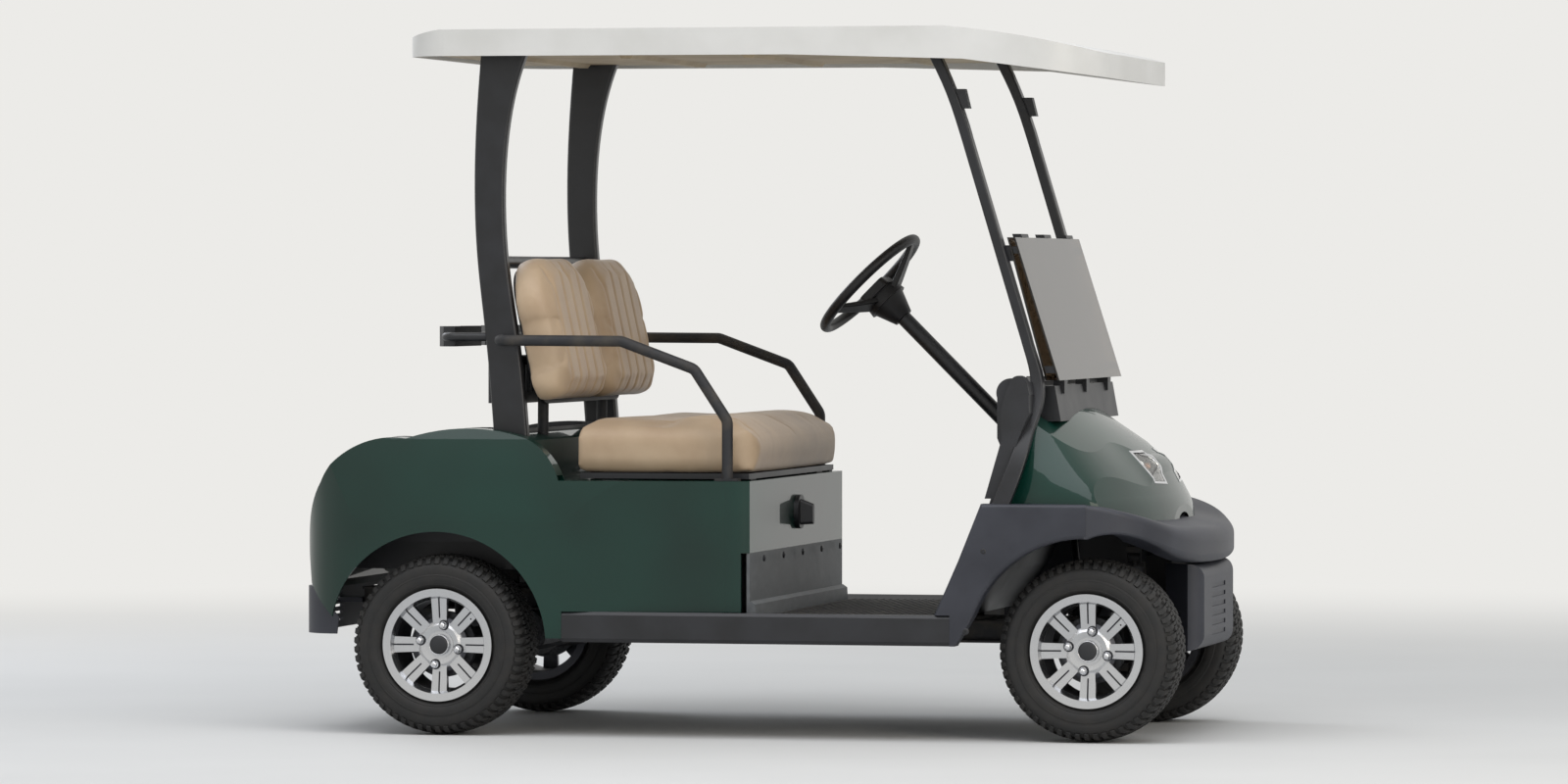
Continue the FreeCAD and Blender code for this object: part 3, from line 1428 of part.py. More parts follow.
def build():
    """Builds every node and writes it."""
    wheels()
    keep("knuckle_left", knuckle(1))
    keep("knuckle_right", knuckle(-1))
    front_suspension()
    steering_gear()
    steering_column()
    steering_wheel()
    frame()
    floor_pan()
    floor_mat()
    rear_axle()
    rear_springs()
    rear_dampers()
    battery_pack()
    front_fenders()
    front_cowl()
    headlamps()
    front_bumper()
    dashboard()
    pedals()
    rear_body()
    kick_panel()
    bag_well()
    rear_bumper()
    tail_lamps()
    direction_switch()
    seat_cushion()
    seat_backs()
    hip_restraints()
    roof()
    front_struts()
    rear_struts()
    bag_rack()
    sweater_basket()
    windshield()
    os.makedirs("parts", exist_ok=True)
    for name, solids in parts.items():
        shape = solids[0] if len(solids) == 1 else Part.makeCompound(solids)
        shape.exportStep(os.path.join("parts", name + ".step"))
        reach = shape.BoundBox
        spans = f"x {reach.XMin:.0f}..{reach.XMax:.0f}, y {reach.YMin:.0f}..{reach.YMax:.0f}"
        spans += f", z {reach.ZMin:.0f}..{reach.ZMax:.0f}, volume {shape.Volume / 1e6:.3f} l"
        print(f"{name}: {len(solids)} solid(s), valid {shape.isValid()}, {spans}")


build()
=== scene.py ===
import json
import math

import bmesh
import bpy
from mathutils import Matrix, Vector


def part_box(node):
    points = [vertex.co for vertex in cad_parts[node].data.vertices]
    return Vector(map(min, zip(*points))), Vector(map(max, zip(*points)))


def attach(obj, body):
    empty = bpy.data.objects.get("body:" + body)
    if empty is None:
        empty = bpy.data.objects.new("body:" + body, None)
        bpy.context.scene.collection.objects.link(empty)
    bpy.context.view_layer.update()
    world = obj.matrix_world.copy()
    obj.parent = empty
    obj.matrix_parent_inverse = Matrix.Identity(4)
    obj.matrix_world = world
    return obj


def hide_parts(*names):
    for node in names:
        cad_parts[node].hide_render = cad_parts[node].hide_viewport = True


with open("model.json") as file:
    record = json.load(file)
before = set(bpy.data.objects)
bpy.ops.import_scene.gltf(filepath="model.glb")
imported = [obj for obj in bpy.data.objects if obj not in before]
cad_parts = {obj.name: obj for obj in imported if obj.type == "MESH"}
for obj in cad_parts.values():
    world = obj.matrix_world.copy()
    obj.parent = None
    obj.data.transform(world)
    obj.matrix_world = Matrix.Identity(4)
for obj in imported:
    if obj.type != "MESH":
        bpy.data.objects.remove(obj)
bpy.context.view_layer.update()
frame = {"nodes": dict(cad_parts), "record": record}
nodes = frame["nodes"]
wheelNames = ("front_left", "front_right", "rear_left", "rear_right")


# Nodes and materials

def linear(hexColour):  # sRGB hex to linear RGBA
    shares = [int(hexColour[i:i + 2], 16) / 255 for i in (1, 3, 5)]
    return [s / 12.92 if s <= 0.04045 else ((s + 0.055) / 1.055) ** 2.4 for s in shares] + [1.0]


def addNode(tree, kind, settings=None, links=None):  # one node, its settings, and what feeds each input
    node = tree.nodes.new(kind)
    for name, value in (settings or {}).items():
        if isinstance(name, str) and hasattr(node, name):
            setattr(node, name, value)
    for name, value in (settings or {}).items():
        if isinstance(name, int) or not hasattr(node, name):
            node.inputs[name].default_value = value
    for name, source in (links or {}).items():
        tree.links.new(source, node.inputs[name])
    return node


def newMaterial(name, colour, settings):  # a Principled material; its even values go on the shader's sockets
    material = bpy.data.materials.new(name)
    material.use_nodes = True
    tree = material.node_tree
    shader = tree.nodes["Principled BSDF"]
    shader.inputs["Base Color"].default_value = linear(colour)
    for socket, value in settings.items():
        shader.inputs[socket].default_value = value
    place = addNode(tree, "ShaderNodeTexCoord").outputs["Object"]
    return material, tree, shader, place


def perMetre(millimetres):  # a texture scale that repeats about once in this many millimetres
    return 1000.0 / millimetres


# A pattern drives a material's two colours, its two roughnesses and its relief (strength, millimetres).
def spread(tree, shader, pattern, colours=None, roughness=None, bump=None, under=None, span=(0.35, 0.65)):
    if colours:
        ramp = addNode(tree, "ShaderNodeValToRGB", {}, {"Fac": pattern})
        for point, place, colour in zip(ramp.color_ramp.elements, span, colours):
            point.position, point.color = place, linear(colour)
        tree.links.new(ramp.outputs["Color"], shader.inputs["Base Color"])
    if roughness:
        band = addNode(tree, "ShaderNodeMapRange", {"To Min": roughness[0], "To Max": roughness[1]},
                       {"Value": pattern})
        tree.links.new(band.outputs["Result"], shader.inputs["Roughness"])
    if not bump:
        return None
    relief = addNode(tree, "ShaderNodeBump", {"Strength": bump[0], "Distance": bump[1] / 1000},
        {"Height": pattern})
    if under:  # a finer relief that this one is added to
        tree.links.new(under, relief.inputs["Normal"])
    tree.links.new(relief.outputs["Normal"], shader.inputs["Normal"])
    return relief.outputs["Normal"]


# Sprayed two-coat paint on a moulded shell: deep green, a wet gloss, a faint orange peel.
def sprayedGreenPaint():
    material, tree, shader, place = newMaterial("sprayedGreenPaint", "#08302a", {
        "Roughness": 0.4, "Specular IOR Level": 0.12, "Coat Weight": 0.6, "Coat Roughness": 0.02,
        "Coat IOR": 1.5})
    cloud = addNode(tree, "ShaderNodeTexNoise", {"Scale": perMetre(420), "Detail": 2.0}, {"Vector": place})
    spread(tree, shader, cloud.outputs["Fac"], colours=("#06261f", "#09332a"))
    peel = addNode(tree, "ShaderNodeTexNoise", {"Scale": perMetre(7), "Detail": 1.0}, {"Vector": place})
    skin = spread(tree, shader, peel.outputs["Fac"], bump=(0.05, 0.15))
    tree.links.new(skin, shader.inputs["Coat Normal"])
    return material


# Moulded polyolefin, charcoal right through: a fine leather grain, satin, paler where the sun bleached it.
def mouldedCharcoal():
    material, tree, shader, place = newMaterial("mouldedCharcoal", "#2f313a", {"Roughness": 0.5, "IOR": 1.49})
    cloud = addNode(tree, "ShaderNodeTexNoise", {"Scale": perMetre(160), "Detail": 4.0}, {"Vector": place})
    spread(tree, shader, cloud.outputs["Fac"], colours=("#292b33", "#373941"), roughness=(0.42, 0.58))
    grain = addNode(tree, "ShaderNodeTexVoronoi", {"Scale": perMetre(1.6)}, {"Vector": place})
    spread(tree, shader, grain.outputs["Distance"], bump=(0.35, 0.25))
    return material


# Moulded black ABS: an even fine spark grain, low sheen.
def mouldedBlackAbs():
    material, tree, shader, place = newMaterial("mouldedBlackAbs", "#1b1c1f",
        {"Roughness": 0.45, "IOR": 1.52})
    cloud = addNode(tree, "ShaderNodeTexNoise", {"Scale": perMetre(90), "Detail": 3.0}, {"Vector": place})
    spread(tree, shader, cloud.outputs["Fac"], colours=("#17181b", "#222327"), roughness=(0.38, 0.52))
    grain = addNode(tree, "ShaderNodeTexNoise", {"Scale": perMetre(1.5), "Detail": 2.0}, {"Vector": place})
    spread(tree, shader, grain.outputs["Fac"], bump=(0.25, 0.2))
    return material


# Moulded grey polypropylene: scuffed by shoes, a dull surface with paler marks low down.
def scuffedGreyPolypropylene():
    material, tree, shader, place = newMaterial("scuffedGreyPolypropylene", "#5f6263", {
        "Roughness": 0.55, "IOR": 1.49})
    stretched = addNode(tree, "ShaderNodeMapping", {"Scale": (1.0, 0.35, 1.0)}, {"Vector": place})
    marks = addNode(tree, "ShaderNodeTexNoise", {"Scale": perMetre(24), "Detail": 6.0},
                    {"Vector": stretched.outputs["Vector"]})
    spread(tree, shader, marks.outputs["Fac"],
           colours=("#585b5d", "#6c6f70"), span=(0.4, 0.72), roughness=(0.45, 0.68))
    spread(tree, shader, marks.outputs["Fac"], bump=(0.12, 0.3))
    return material


# Thermoformed roof sheet: off-white, a soft satin with a slight haze of dust.
def thermoformedRoofSheet():
    material, tree, shader, place = newMaterial("thermoformedRoofSheet", "#d3d2ce",
        {"Roughness": 0.38, "IOR": 1.49})
    dust = addNode(tree, "ShaderNodeTexNoise", {"Scale": perMetre(210), "Detail": 5.0}, {"Vector": place})
    spread(tree, shader, dust.outputs["Fac"],
           colours=("#cbcac5", "#d9d8d4"), span=(0.3, 0.7), roughness=(0.32, 0.48))
    grain = addNode(tree, "ShaderNodeTexNoise", {"Scale": perMetre(2.5), "Detail": 2.0}, {"Vector": place})
    spread(tree, shader, grain.outputs["Fac"], bump=(0.12, 0.2))
    return material


# Pressed roof liner with a felt-like dull face, coloured tan: the tan is painted shade and painted warm
# bounce light under the roof, on what is most likely the same off-white plastic as the roof's top.
def linerWithPaintedShade():
    material, tree, shader, place = newMaterial("linerWithPaintedShade", "#a8997f",
        {"Roughness": 0.72, "IOR": 1.46})
    cloud = addNode(tree, "ShaderNodeTexNoise", {"Scale": perMetre(120), "Detail": 4.0}, {"Vector": place})
    spread(tree, shader, cloud.outputs["Fac"], colours=("#9f9078", "#b3a48a"))
    grain = addNode(tree, "ShaderNodeTexNoise", {"Scale": perMetre(3), "Detail": 3.0}, {"Vector": place})
    spread(tree, shader, grain.outputs["Fac"], bump=(0.3, 0.3))
    return material


# Expanded marine vinyl: tan, an embossed leather grain of 2 mm cells, a soft sheen where it is sat on.
def embossedTanVinyl():
    material, tree, shader, place = newMaterial("embossedTanVinyl", "#b9a082", {
        "Roughness": 0.5, "IOR": 1.5, "Sheen Weight": 0.15, "Sheen Roughness": 0.5})
    wear = addNode(tree, "ShaderNodeTexNoise", {"Scale": perMetre(130), "Detail": 4.0}, {"Vector": place})
    spread(tree, shader, wear.outputs["Fac"],
           colours=("#ae9477", "#c2aa8c"), span=(0.3, 0.7), roughness=(0.4, 0.56))
    cells = addNode(tree, "ShaderNodeTexVoronoi", {"feature": "DISTANCE_TO_EDGE", "Scale": perMetre(2.6)},
                    {"Vector": place})
    creases = addNode(tree, "ShaderNodeMapRange", {"From Max": 0.12}, {"Value": cells.outputs["Distance"]})
    fine = spread(tree, shader, creases.outputs["Result"], bump=(0.3, 0.25))
    soft = addNode(tree, "ShaderNodeTexNoise", {"Scale": perMetre(45), "Detail": 2.0}, {"Vector": place})
    spread(tree, shader, soft.outputs["Fac"], bump=(0.25, 2.0), under=fine)
    return material


# Powder-coated steel tube: black, semi-gloss, a pebbled skin.
def powderCoatedBlack():
    material, tree, shader, place = newMaterial("powderCoatedBlack", "#17181b",
        {"Roughness": 0.34, "IOR": 1.5})
    cloud = addNode(tree, "ShaderNodeTexNoise", {"Scale": perMetre(70), "Detail": 3.0}, {"Vector": place})
    spread(tree, shader, cloud.outputs["Fac"], colours=("#141518", "#1e1f23"), roughness=(0.28, 0.42))
    pebble = addNode(tree, "ShaderNodeTexNoise", {"Scale": perMetre(3), "Detail": 1.0}, {"Vector": place})
    spread(tree, shader, pebble.outputs["Fac"], bump=(0.15, 0.2))
    return material


# Painted chassis steel: dull black with brown road dust in the low corners.
def dustyChassisPaint():
    material, tree, shader, place = newMaterial("dustyChassisPaint", "#26272a",
        {"Roughness": 0.6, "IOR": 1.5})
    dust = addNode(tree, "ShaderNodeTexNoise", {"Scale": perMetre(60), "Detail": 6.0}, {"Vector": place})
    spread(tree, shader, dust.outputs["Fac"],
           colours=("#222326", "#4a443c"), span=(0.45, 0.8), roughness=(0.48, 0.85))
    spread(tree, shader, dust.outputs["Fac"], bump=(0.2, 0.4))
    return material


# Sand-cast iron and aluminium: dark grey, a coarse skin, oily in patches.
def sandCastMetal():
    material, tree, shader, place = newMaterial("sandCastMetal", "#55565a",
        {"Metallic": 0.9, "Roughness": 0.6})
    skin = addNode(tree, "ShaderNodeTexNoise", {"Scale": perMetre(6), "Detail": 6.0}, {"Vector": place})
    spread(tree, shader, skin.outputs["Fac"], colours=("#47484b", "#66676a"), roughness=(0.48, 0.75))
    spread(tree, shader, skin.outputs["Fac"], bump=(0.4, 0.5))
    return material


# Zinc-plated steel: cool grey, a clean sheen with faint spangle.
def zincPlatedSteel():
    material, tree, shader, place = newMaterial("zincPlatedSteel", "#a9abae",
        {"Metallic": 1.0, "Roughness": 0.34})
    spangle = addNode(tree, "ShaderNodeTexVoronoi", {"Scale": perMetre(5)}, {"Vector": place})
    spread(tree, shader, spangle.outputs["Distance"],
           colours=("#9a9ca0", "#b6b8bb"), span=(0.1, 0.6), roughness=(0.27, 0.42))
    return material


# Cast alloy, face turned on a lathe: bright rings on the face, grey on everything set back behind it, the
# windows and the barrel; that grey is partly the pockets' paint and partly painted shade for the shadow in
# those recesses.
def turnedAlloy(name, centre, side):
    material, tree, shader, place = newMaterial(name, "#b9babc", {"Metallic": 1.0, "Roughness": 0.3})
    local = addNode(tree, "ShaderNodeMapping", {
        "vector_type": "POINT", "Location": tuple(-c for c in centre)}, {"Vector": place})
    axes = addNode(tree, "ShaderNodeSeparateXYZ", {}, {"Vector": local.outputs["Vector"]})
    radius = addNode(tree, "ShaderNodeVectorMath", {"operation": "LENGTH"}, {0: addNode(
        tree, "ShaderNodeCombineXYZ", {}, {
            "X": axes.outputs["X"], "Z": axes.outputs["Z"]}).outputs["Vector"]})
    depth = addNode(tree, "ShaderNodeMapRange", {"From Min": 0.059 * side, "From Max": 0.062 * side},
                    {"Value": axes.outputs["Y"]})
    lathe = addNode(tree, "ShaderNodeMath", {"operation": "SINE"}, {0: addNode(
        tree, "ShaderNodeMath", {"operation": "MULTIPLY", 1: perMetre(1.1) * math.tau},
        {0: radius.outputs["Value"]}).outputs["Value"]})  # feed lines of 0.3 mm, drawn at 1.1 mm
    # grey for the surfaces set back behind the face: their paint together with painted shade in the recesses
    colour = addNode(tree, "ShaderNodeMix", {"data_type": "RGBA", 6: linear("#54555a"), 7: linear("#c4c5c7")},
                     {0: depth.outputs["Result"]})
    tree.links.new(colour.outputs[2], shader.inputs["Base Color"])
    gloss = addNode(tree, "ShaderNodeMapRange", {"To Min": 0.5, "To Max": 0.27},
        {"Value": depth.outputs["Result"]})
    tree.links.new(gloss.outputs["Result"], shader.inputs["Roughness"])
    spread(tree, shader, lathe.outputs["Value"], bump=(0.12, 0.1))
    return material


# Chromed steel: a hard mirror.
def chromedSteel():
    material, tree, shader, place = newMaterial("chromedSteel", "#d4d5d8",
        {"Metallic": 1.0, "Roughness": 0.08})
    haze = addNode(tree, "ShaderNodeTexNoise", {"Scale": perMetre(8), "Detail": 3.0}, {"Vector": place})
    spread(tree, shader, haze.outputs["Fac"], roughness=(0.05, 0.16))
    return material


# Vulcanised tyre rubber: near black, matt, grey-brown dust held in the tread and on the shoulder.
def vulcanisedRubber():
    material, tree, shader, place = newMaterial("vulcanisedRubber", "#1c1c1d",
        {"Roughness": 0.7, "IOR": 1.52})
    dust = addNode(tree, "ShaderNodeTexNoise", {"Scale": perMetre(34), "Detail": 5.0}, {"Vector": place})
    spread(tree, shader, dust.outputs["Fac"],
           colours=("#191919", "#2a2826"), span=(0.4, 0.75), roughness=(0.58, 0.85))
    grain = addNode(tree, "ShaderNodeTexNoise", {"Scale": perMetre(1.8), "Detail": 2.0}, {"Vector": place})
    spread(tree, shader, grain.outputs["Fac"], bump=(0.2, 0.15))
    return material


# Calendered floor rubber: dark grey, dull, dusty between its ribs.
def calenderedMatRubber():
    material, tree, shader, place = newMaterial("calenderedMatRubber", "#2c2c2d",
        {"Roughness": 0.75, "IOR": 1.52})
    dust = addNode(tree, "ShaderNodeTexNoise", {"Scale": perMetre(50), "Detail": 6.0}, {"Vector": place})
    spread(tree, shader, dust.outputs["Fac"], colours=("#262627", "#4b4740"), span=(0.4, 0.8))
    spread(tree, shader, dust.outputs["Fac"], bump=(0.25, 0.3))
    return material


# Integral-skin foam grip: black, soft, an even fine grain that palms have polished.
def foamGrip():
    material, tree, shader, place = newMaterial("foamGrip", "#18181a", {"Roughness": 0.5, "IOR": 1.5})
    palms = addNode(tree, "ShaderNodeTexNoise", {"Scale": perMetre(60), "Detail": 3.0}, {"Vector": place})
    spread(tree, shader, palms.outputs["Fac"], colours=("#141416", "#202023"), roughness=(0.36, 0.62))
    grain = addNode(tree, "ShaderNodeTexVoronoi", {"Scale": perMetre(1.8)}, {"Vector": place})
    spread(tree, shader, grain.outputs["Distance"], bump=(0.3, 0.2))
    return material


# Cast acrylic sheet with a smoke tint: clear, dark brown through, mirror-like at a glance.
def smokedAcrylic():
    material, tree, shader, place = newMaterial("smokedAcrylic", "#43372a", {
        "Roughness": 0.015, "IOR": 1.49, "Transmission Weight": 0.92})
    smear = addNode(tree, "ShaderNodeTexNoise", {"Scale": perMetre(140), "Detail": 4.0}, {"Vector": place})
    spread(tree, shader, smear.outputs["Fac"], roughness=(0.005, 0.06))
    wave = addNode(tree, "ShaderNodeTexNoise", {"Scale": perMetre(110), "Detail": 0.0}, {"Vector": place})
    spread(tree, shader, wave.outputs["Fac"], bump=(0.1, 1.5))
    return material


# Injection-moulded polycarbonate lens: water-clear with flow lines near its edge.
def clearPolycarbonate():
    material, tree, shader, place = newMaterial("clearPolycarbonate", "#f4f4f0", {
        "Roughness": 0.02, "IOR": 1.58, "Transmission Weight": 1.0})
    flow = addNode(tree, "ShaderNodeTexNoise", {"Scale": perMetre(30), "Detail": 1.0}, {"Vector": place})
    spread(tree, shader, flow.outputs["Fac"], bump=(0.05, 0.3))
    return material


# Vacuum-metallised reflector: a bright faceted bowl behind the headlamp's lens.
def metallisedReflector():
    material, tree, shader, place = newMaterial("metallisedReflector", "#d9d9d6",
        {"Metallic": 1.0, "Roughness": 0.1})
    facets = addNode(tree, "ShaderNodeTexVoronoi", {"Scale": perMetre(16)}, {"Vector": place})
    spread(tree, shader, facets.outputs["Distance"], colours=("#cfcfcb", "#e4e3df"), bump=(0.6, 3.0))
    return material


# Amber bulb glass, seen through the lens.
def amberBulbGlass():
    material, tree, shader, place = newMaterial("amberBulbGlass", "#c8742a", {
        "Roughness": 0.12, "IOR": 1.5, "Transmission Weight": 0.3})
    ribs = addNode(tree, "ShaderNodeTexWave", {"bands_direction": "Z", "Scale": perMetre(12)},
        {"Vector": place})
    spread(tree, shader, ribs.outputs["Fac"], colours=("#b9661f", "#d88a3c"), bump=(0.4, 0.8))
    return material


# Moulded red acrylic with prism rows inside, for the tail lamps.
def prismRedAcrylic():
    material, tree, shader, place = newMaterial("prismRedAcrylic", "#8e0f12", {
        "Roughness": 0.08, "IOR": 1.49, "Transmission Weight": 0.35})
    prisms = addNode(tree, "ShaderNodeTexWave", {"bands_direction": "Y", "Scale": perMetre(40)},
        {"Vector": place})
    spread(tree, shader, prisms.outputs["Fac"], bump=(0.5, 0.6))
    spread(tree, shader, prisms.outputs["Fac"], colours=("#7a0c0f", "#a31417"))
    return material


# Moulded polypropylene battery cases: dark blue-grey, dusty on top.
def batteryPolypropylene():
    material, tree, shader, place = newMaterial("batteryPolypropylene", "#2b2f38",
        {"Roughness": 0.5, "IOR": 1.49})
    dust = addNode(tree, "ShaderNodeTexNoise", {"Scale": perMetre(40), "Detail": 5.0}, {"Vector": place})
    spread(tree, shader, dust.outputs["Fac"], colours=("#272b34", "#4a4a4c"), span=(0.45, 0.8))
    spread(tree, shader, dust.outputs["Fac"], bump=(0.15, 0.3))
    return material


greenPaint = sprayedGreenPaint()
charcoal = mouldedCharcoal()
blackAbs = mouldedBlackAbs()
greyPlastic = scuffedGreyPolypropylene()
roofSheet = thermoformedRoofSheet()
paintedShadeLiner = linerWithPaintedShade()
tanVinyl = embossedTanVinyl()
blackCoat = powderCoatedBlack()
chassisPaint = dustyChassisPaint()
castMetal = sandCastMetal()
zincSteel = zincPlatedSteel()
chrome = chromedSteel()
rubber = vulcanisedRubber()
matRubber = calenderedMatRubber()
grip = foamGrip()
smokedPane = smokedAcrylic()
clearLens = clearPolycarbonate()
redLens = prismRedAcrylic()
reflector = metallisedReflector()
amber = amberBulbGlass()
batteryCase = batteryPolypropylene()

slotFinish = {
    "cast": castMetal, "frame_steel": chassisPaint, "strut_paint": blackCoat, "bright_steel": zincSteel,
    "body_green": greenPaint, "charcoal": charcoal, "black_plastic": blackAbs, "grey_plastic": greyPlastic,
    "roof_white": roofSheet, "vinyl": tanVinyl, "mat_rubber": matRubber, "grip": grip,
    "tinted_acrylic": smokedPane, "lamp_clear": clearLens, "lamp_red": redLens, "battery_case": batteryCase,
    "tyre": rubber,
}


def dressNode(name, material):  # gives a CAD node its finish
    data = nodes[name].data
    if not data.materials:
        data.materials.append(material)
    for slot in nodes[name].material_slots:
        slot.material = material


def wheelCentre(name):  # the middle of a wheel, from its tyre's box
    low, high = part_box("tyre_" + name)
    return (low + high) / 2


for part in frame["record"]["subparts"]:
    name = part["node"]
    if name.startswith("rim_"):
        centre = wheelCentre(name[4:])
        dressNode(name, turnedAlloy("turnedAlloy_" + name[4:], centre, 1 if centre.y > 0 else -1))
    else:
        dressNode(name, slotFinish[part["material_slot"]])
# the liner gets the tan that stands for painted shade and warm bounce light under the roof
dressNode("roof_liner", paintedShadeLiner)
dressNode("headlamp_bezels", chrome)
print("CAD nodes dressed:", len(nodes))


# Mesh helpers

def meshPiece(name, build, material):  # a new piece from a bmesh
    data = bpy.data.meshes.new(name)
    build.to_mesh(data)
    build.free()
    data.materials.append(material)
    piece = bpy.data.objects.new(name, data)
    bpy.context.scene.collection.objects.link(piece)
    return piece


def turnedShape(build, profile, centre, count):  # turns a closed outline of (along, radius) about the axle
    rings = []
    for i in range(count):
        turn = math.tau * i / count
        rings.append([build.verts.new(centre + Vector((r * math.sin(turn), y, r * math.cos(turn))))
                      for y, r in profile])
    for i in range(count):
        a, b = rings[i], rings[(i + 1) % count]
        for j in range(len(profile)):
            k = (j + 1) % len(profile)
            build.faces.new((a[j], a[k], b[k], b[j]))


def shadeSmooth(piece, degrees=35):  # smooth faces with sharp edges past an angle
    data = piece.data
    data.polygons.foreach_set("use_smooth", [True] * len(data.polygons))
    data.set_sharp_from_angle(angle=math.radians(degrees))


def settle(piece):  # live modifiers turned into the piece's own plain mesh
    bpy.context.view_layer.update()
    graph = bpy.context.evaluated_depsgraph_get()
    data = bpy.data.meshes.new_from_object(piece.evaluated_get(graph))
    piece.modifiers.clear()
    piece.data = data
    return piece


def fitOut(piece, body, slot, *replaced):  # attaches a finished piece to its body and hides the CAD parts it replaces
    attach(piece, body)
    if replaced:
        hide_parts(*replaced)
    return piece


def socketOf(tree, name):  # the identifier of a named modifier input
    return next(item.identifier for item in tree.interface.items_tree if item.name == name)


def addPattern(piece, tree, values):  # a Geometry Nodes modifier with its inputs set before it is evaluated
    modifier = piece.modifiers.new(tree.name, "NODES")
    modifier.node_group = tree
    for name, value in values.items():
        modifier[socketOf(tree, name)] = value
    return settle(piece)


def newTree(name, inputs):  # a Geometry Nodes tree with named inputs
    tree = bpy.data.node_groups.new(name, "GeometryNodeTree")
    for title, kind in [("shape", "NodeSocketGeometry")] + inputs:
        tree.interface.new_socket(title, in_out="INPUT", socket_type=kind)
    tree.interface.new_socket("result", in_out="OUTPUT", socket_type="NodeSocketGeometry")
    return tree, addNode(tree, "NodeGroupInput"), addNode(tree, "NodeGroupOutput")


def ringTree():  # copies a shape round an axle along Y, then moves the ring to its place
    tree, given, result = newTree("ringOfCopies", [
        ("copies", "NodeSocketInt"), ("firstTurn", "NodeSocketFloat"), ("centre", "NodeSocketVector"),
        ("finish", "NodeSocketMaterial")])
    points = addNode(tree, "GeometryNodeMeshLine", {"Offset": (0, 0, 0)}, {"Count": given.outputs["copies"]})
    stepAngle = addNode(tree, "ShaderNodeMath", {"operation": "DIVIDE", 0: math.tau},
        {1: given.outputs["copies"]})
    index = addNode(tree, "GeometryNodeInputIndex")
    turn = addNode(tree, "ShaderNodeMath", {"operation": "MULTIPLY_ADD"},
                   {0: index.outputs[0], 1: stepAngle.outputs[0], 2: given.outputs["firstTurn"]})
    euler = addNode(tree, "ShaderNodeCombineXYZ", {}, {"Y": turn.outputs[0]})
    rotation = addNode(tree, "FunctionNodeEulerToRotation", {}, {0: euler.outputs[0]})
    copies = addNode(tree, "GeometryNodeInstanceOnPoints", {}, {
        "Points": points.outputs[0], "Instance": given.outputs["shape"], "Rotation": rotation.outputs[0]})
    moved = addNode(tree, "GeometryNodeTransform", {}, {
        "Geometry": copies.outputs[0], "Translation": given.outputs["centre"]})
    real = addNode(tree, "GeometryNodeRealizeInstances", {}, {0: moved.outputs[0]})
    coat = addNode(tree, "GeometryNodeSetMaterial", {},
        {0: real.outputs[0], "Material": given.outputs["finish"]})
    tree.links.new(coat.outputs[0], result.inputs[0])
    return tree


def rowTree():  # copies a shape along a straight line and turns each one the same way
    tree, given, result = newTree("rowOfCopies", [
        ("copies", "NodeSocketInt"), ("start", "NodeSocketVector"), ("step", "NodeSocketVector"),
        ("turn", "NodeSocketVector"), ("finish", "NodeSocketMaterial")])
    points = addNode(tree, "GeometryNodeMeshLine", {}, {
        "Count": given.outputs["copies"], "Start Location": given.outputs["start"],
        "Offset": given.outputs["step"]})
    rotation = addNode(tree, "FunctionNodeEulerToRotation", {}, {0: given.outputs["turn"]})
    copies = addNode(tree, "GeometryNodeInstanceOnPoints", {}, {
        "Points": points.outputs[0], "Instance": given.outputs["shape"], "Rotation": rotation.outputs[0]})
    real = addNode(tree, "GeometryNodeRealizeInstances", {}, {0: copies.outputs[0]})
    coat = addNode(tree, "GeometryNodeSetMaterial", {},
        {0: real.outputs[0], "Material": given.outputs["finish"]})
    tree.links.new(coat.outputs[0], result.inputs[0])
    return tree


ringOfCopies = ringTree()
rowOfCopies = rowTree()


# Tyres: a carcass of revolution and a ring of tread blocks

tyreFacts = {
    "treadDepth": 0.0065, "pitches": 58, "segments": 116, "blockInset": 0.0008, "crownRadius": 0.229,
    # the outline's three arcs, each through three points of (y, radius), and where it ends inside the rim
    "arcs": (((0, 0.229), (0.04, 0.22725), (0.080, 0.222)), ((0.080, 0.222), (0.094, 0.207), (0.098, 0.181)),
             ((0.098, 0.181), (0.100, 0.169), (0.078, 0.1445))),
    "arcSteps": 12, "bead": (0.078, 0.127), "hiddenEdge": ((0.0775, 0.1435), (0.0775, 0.128), (0.070, 0.127)),
    "crownSteps": 20, "crownStep": 0.0055, "grooveEnd": 0.108, "grooveFade": 0.012, "wallSink": 0.0012,
    # the sidewall's stations: distance from the crown's middle, and how far a ring stands out there
    "wall": ((0.112, 0), (0.120, 0), (0.128, 0), (0.1285, 0.0012), (0.1325, 0.0012), (0.133, 0), (0.141, 0),
             (0.149, 0), (0.155, 0), (0.1555, 0.0015), (0.158, 0.0015), (0.1585, 0), (0.166, 0),
             (0.172, 0)),
    # each block's stations: distance from the middle, its start in metres and in pitches, its end in pitches
    "blocks": (
        ((0.002, 0, 0, 0.80), (0.012, 0.004, 0, 0.84), (0.021, 0.003, 0, 0.74)),
        ((0.026, 0.006, 0, 0.58), (0.040, 0.010, 0, 0.72), (0.050, 0.012, 0, 0.74)),
        ((0.0265, 0, 0.66, 1.12), (0.040, 0, 0.82, 1.26), (0.0495, 0, 0.86, 1.3)),
        ((0.055, 0.012, 0, 0.92), (0.070, 0.015, 0, 1.12), (0.082, 0.017, 0, 1.24), (0.091, 0.018, 0, 1.28),
         (0.101, 0.018, 0, 1.24)),
    ),
}


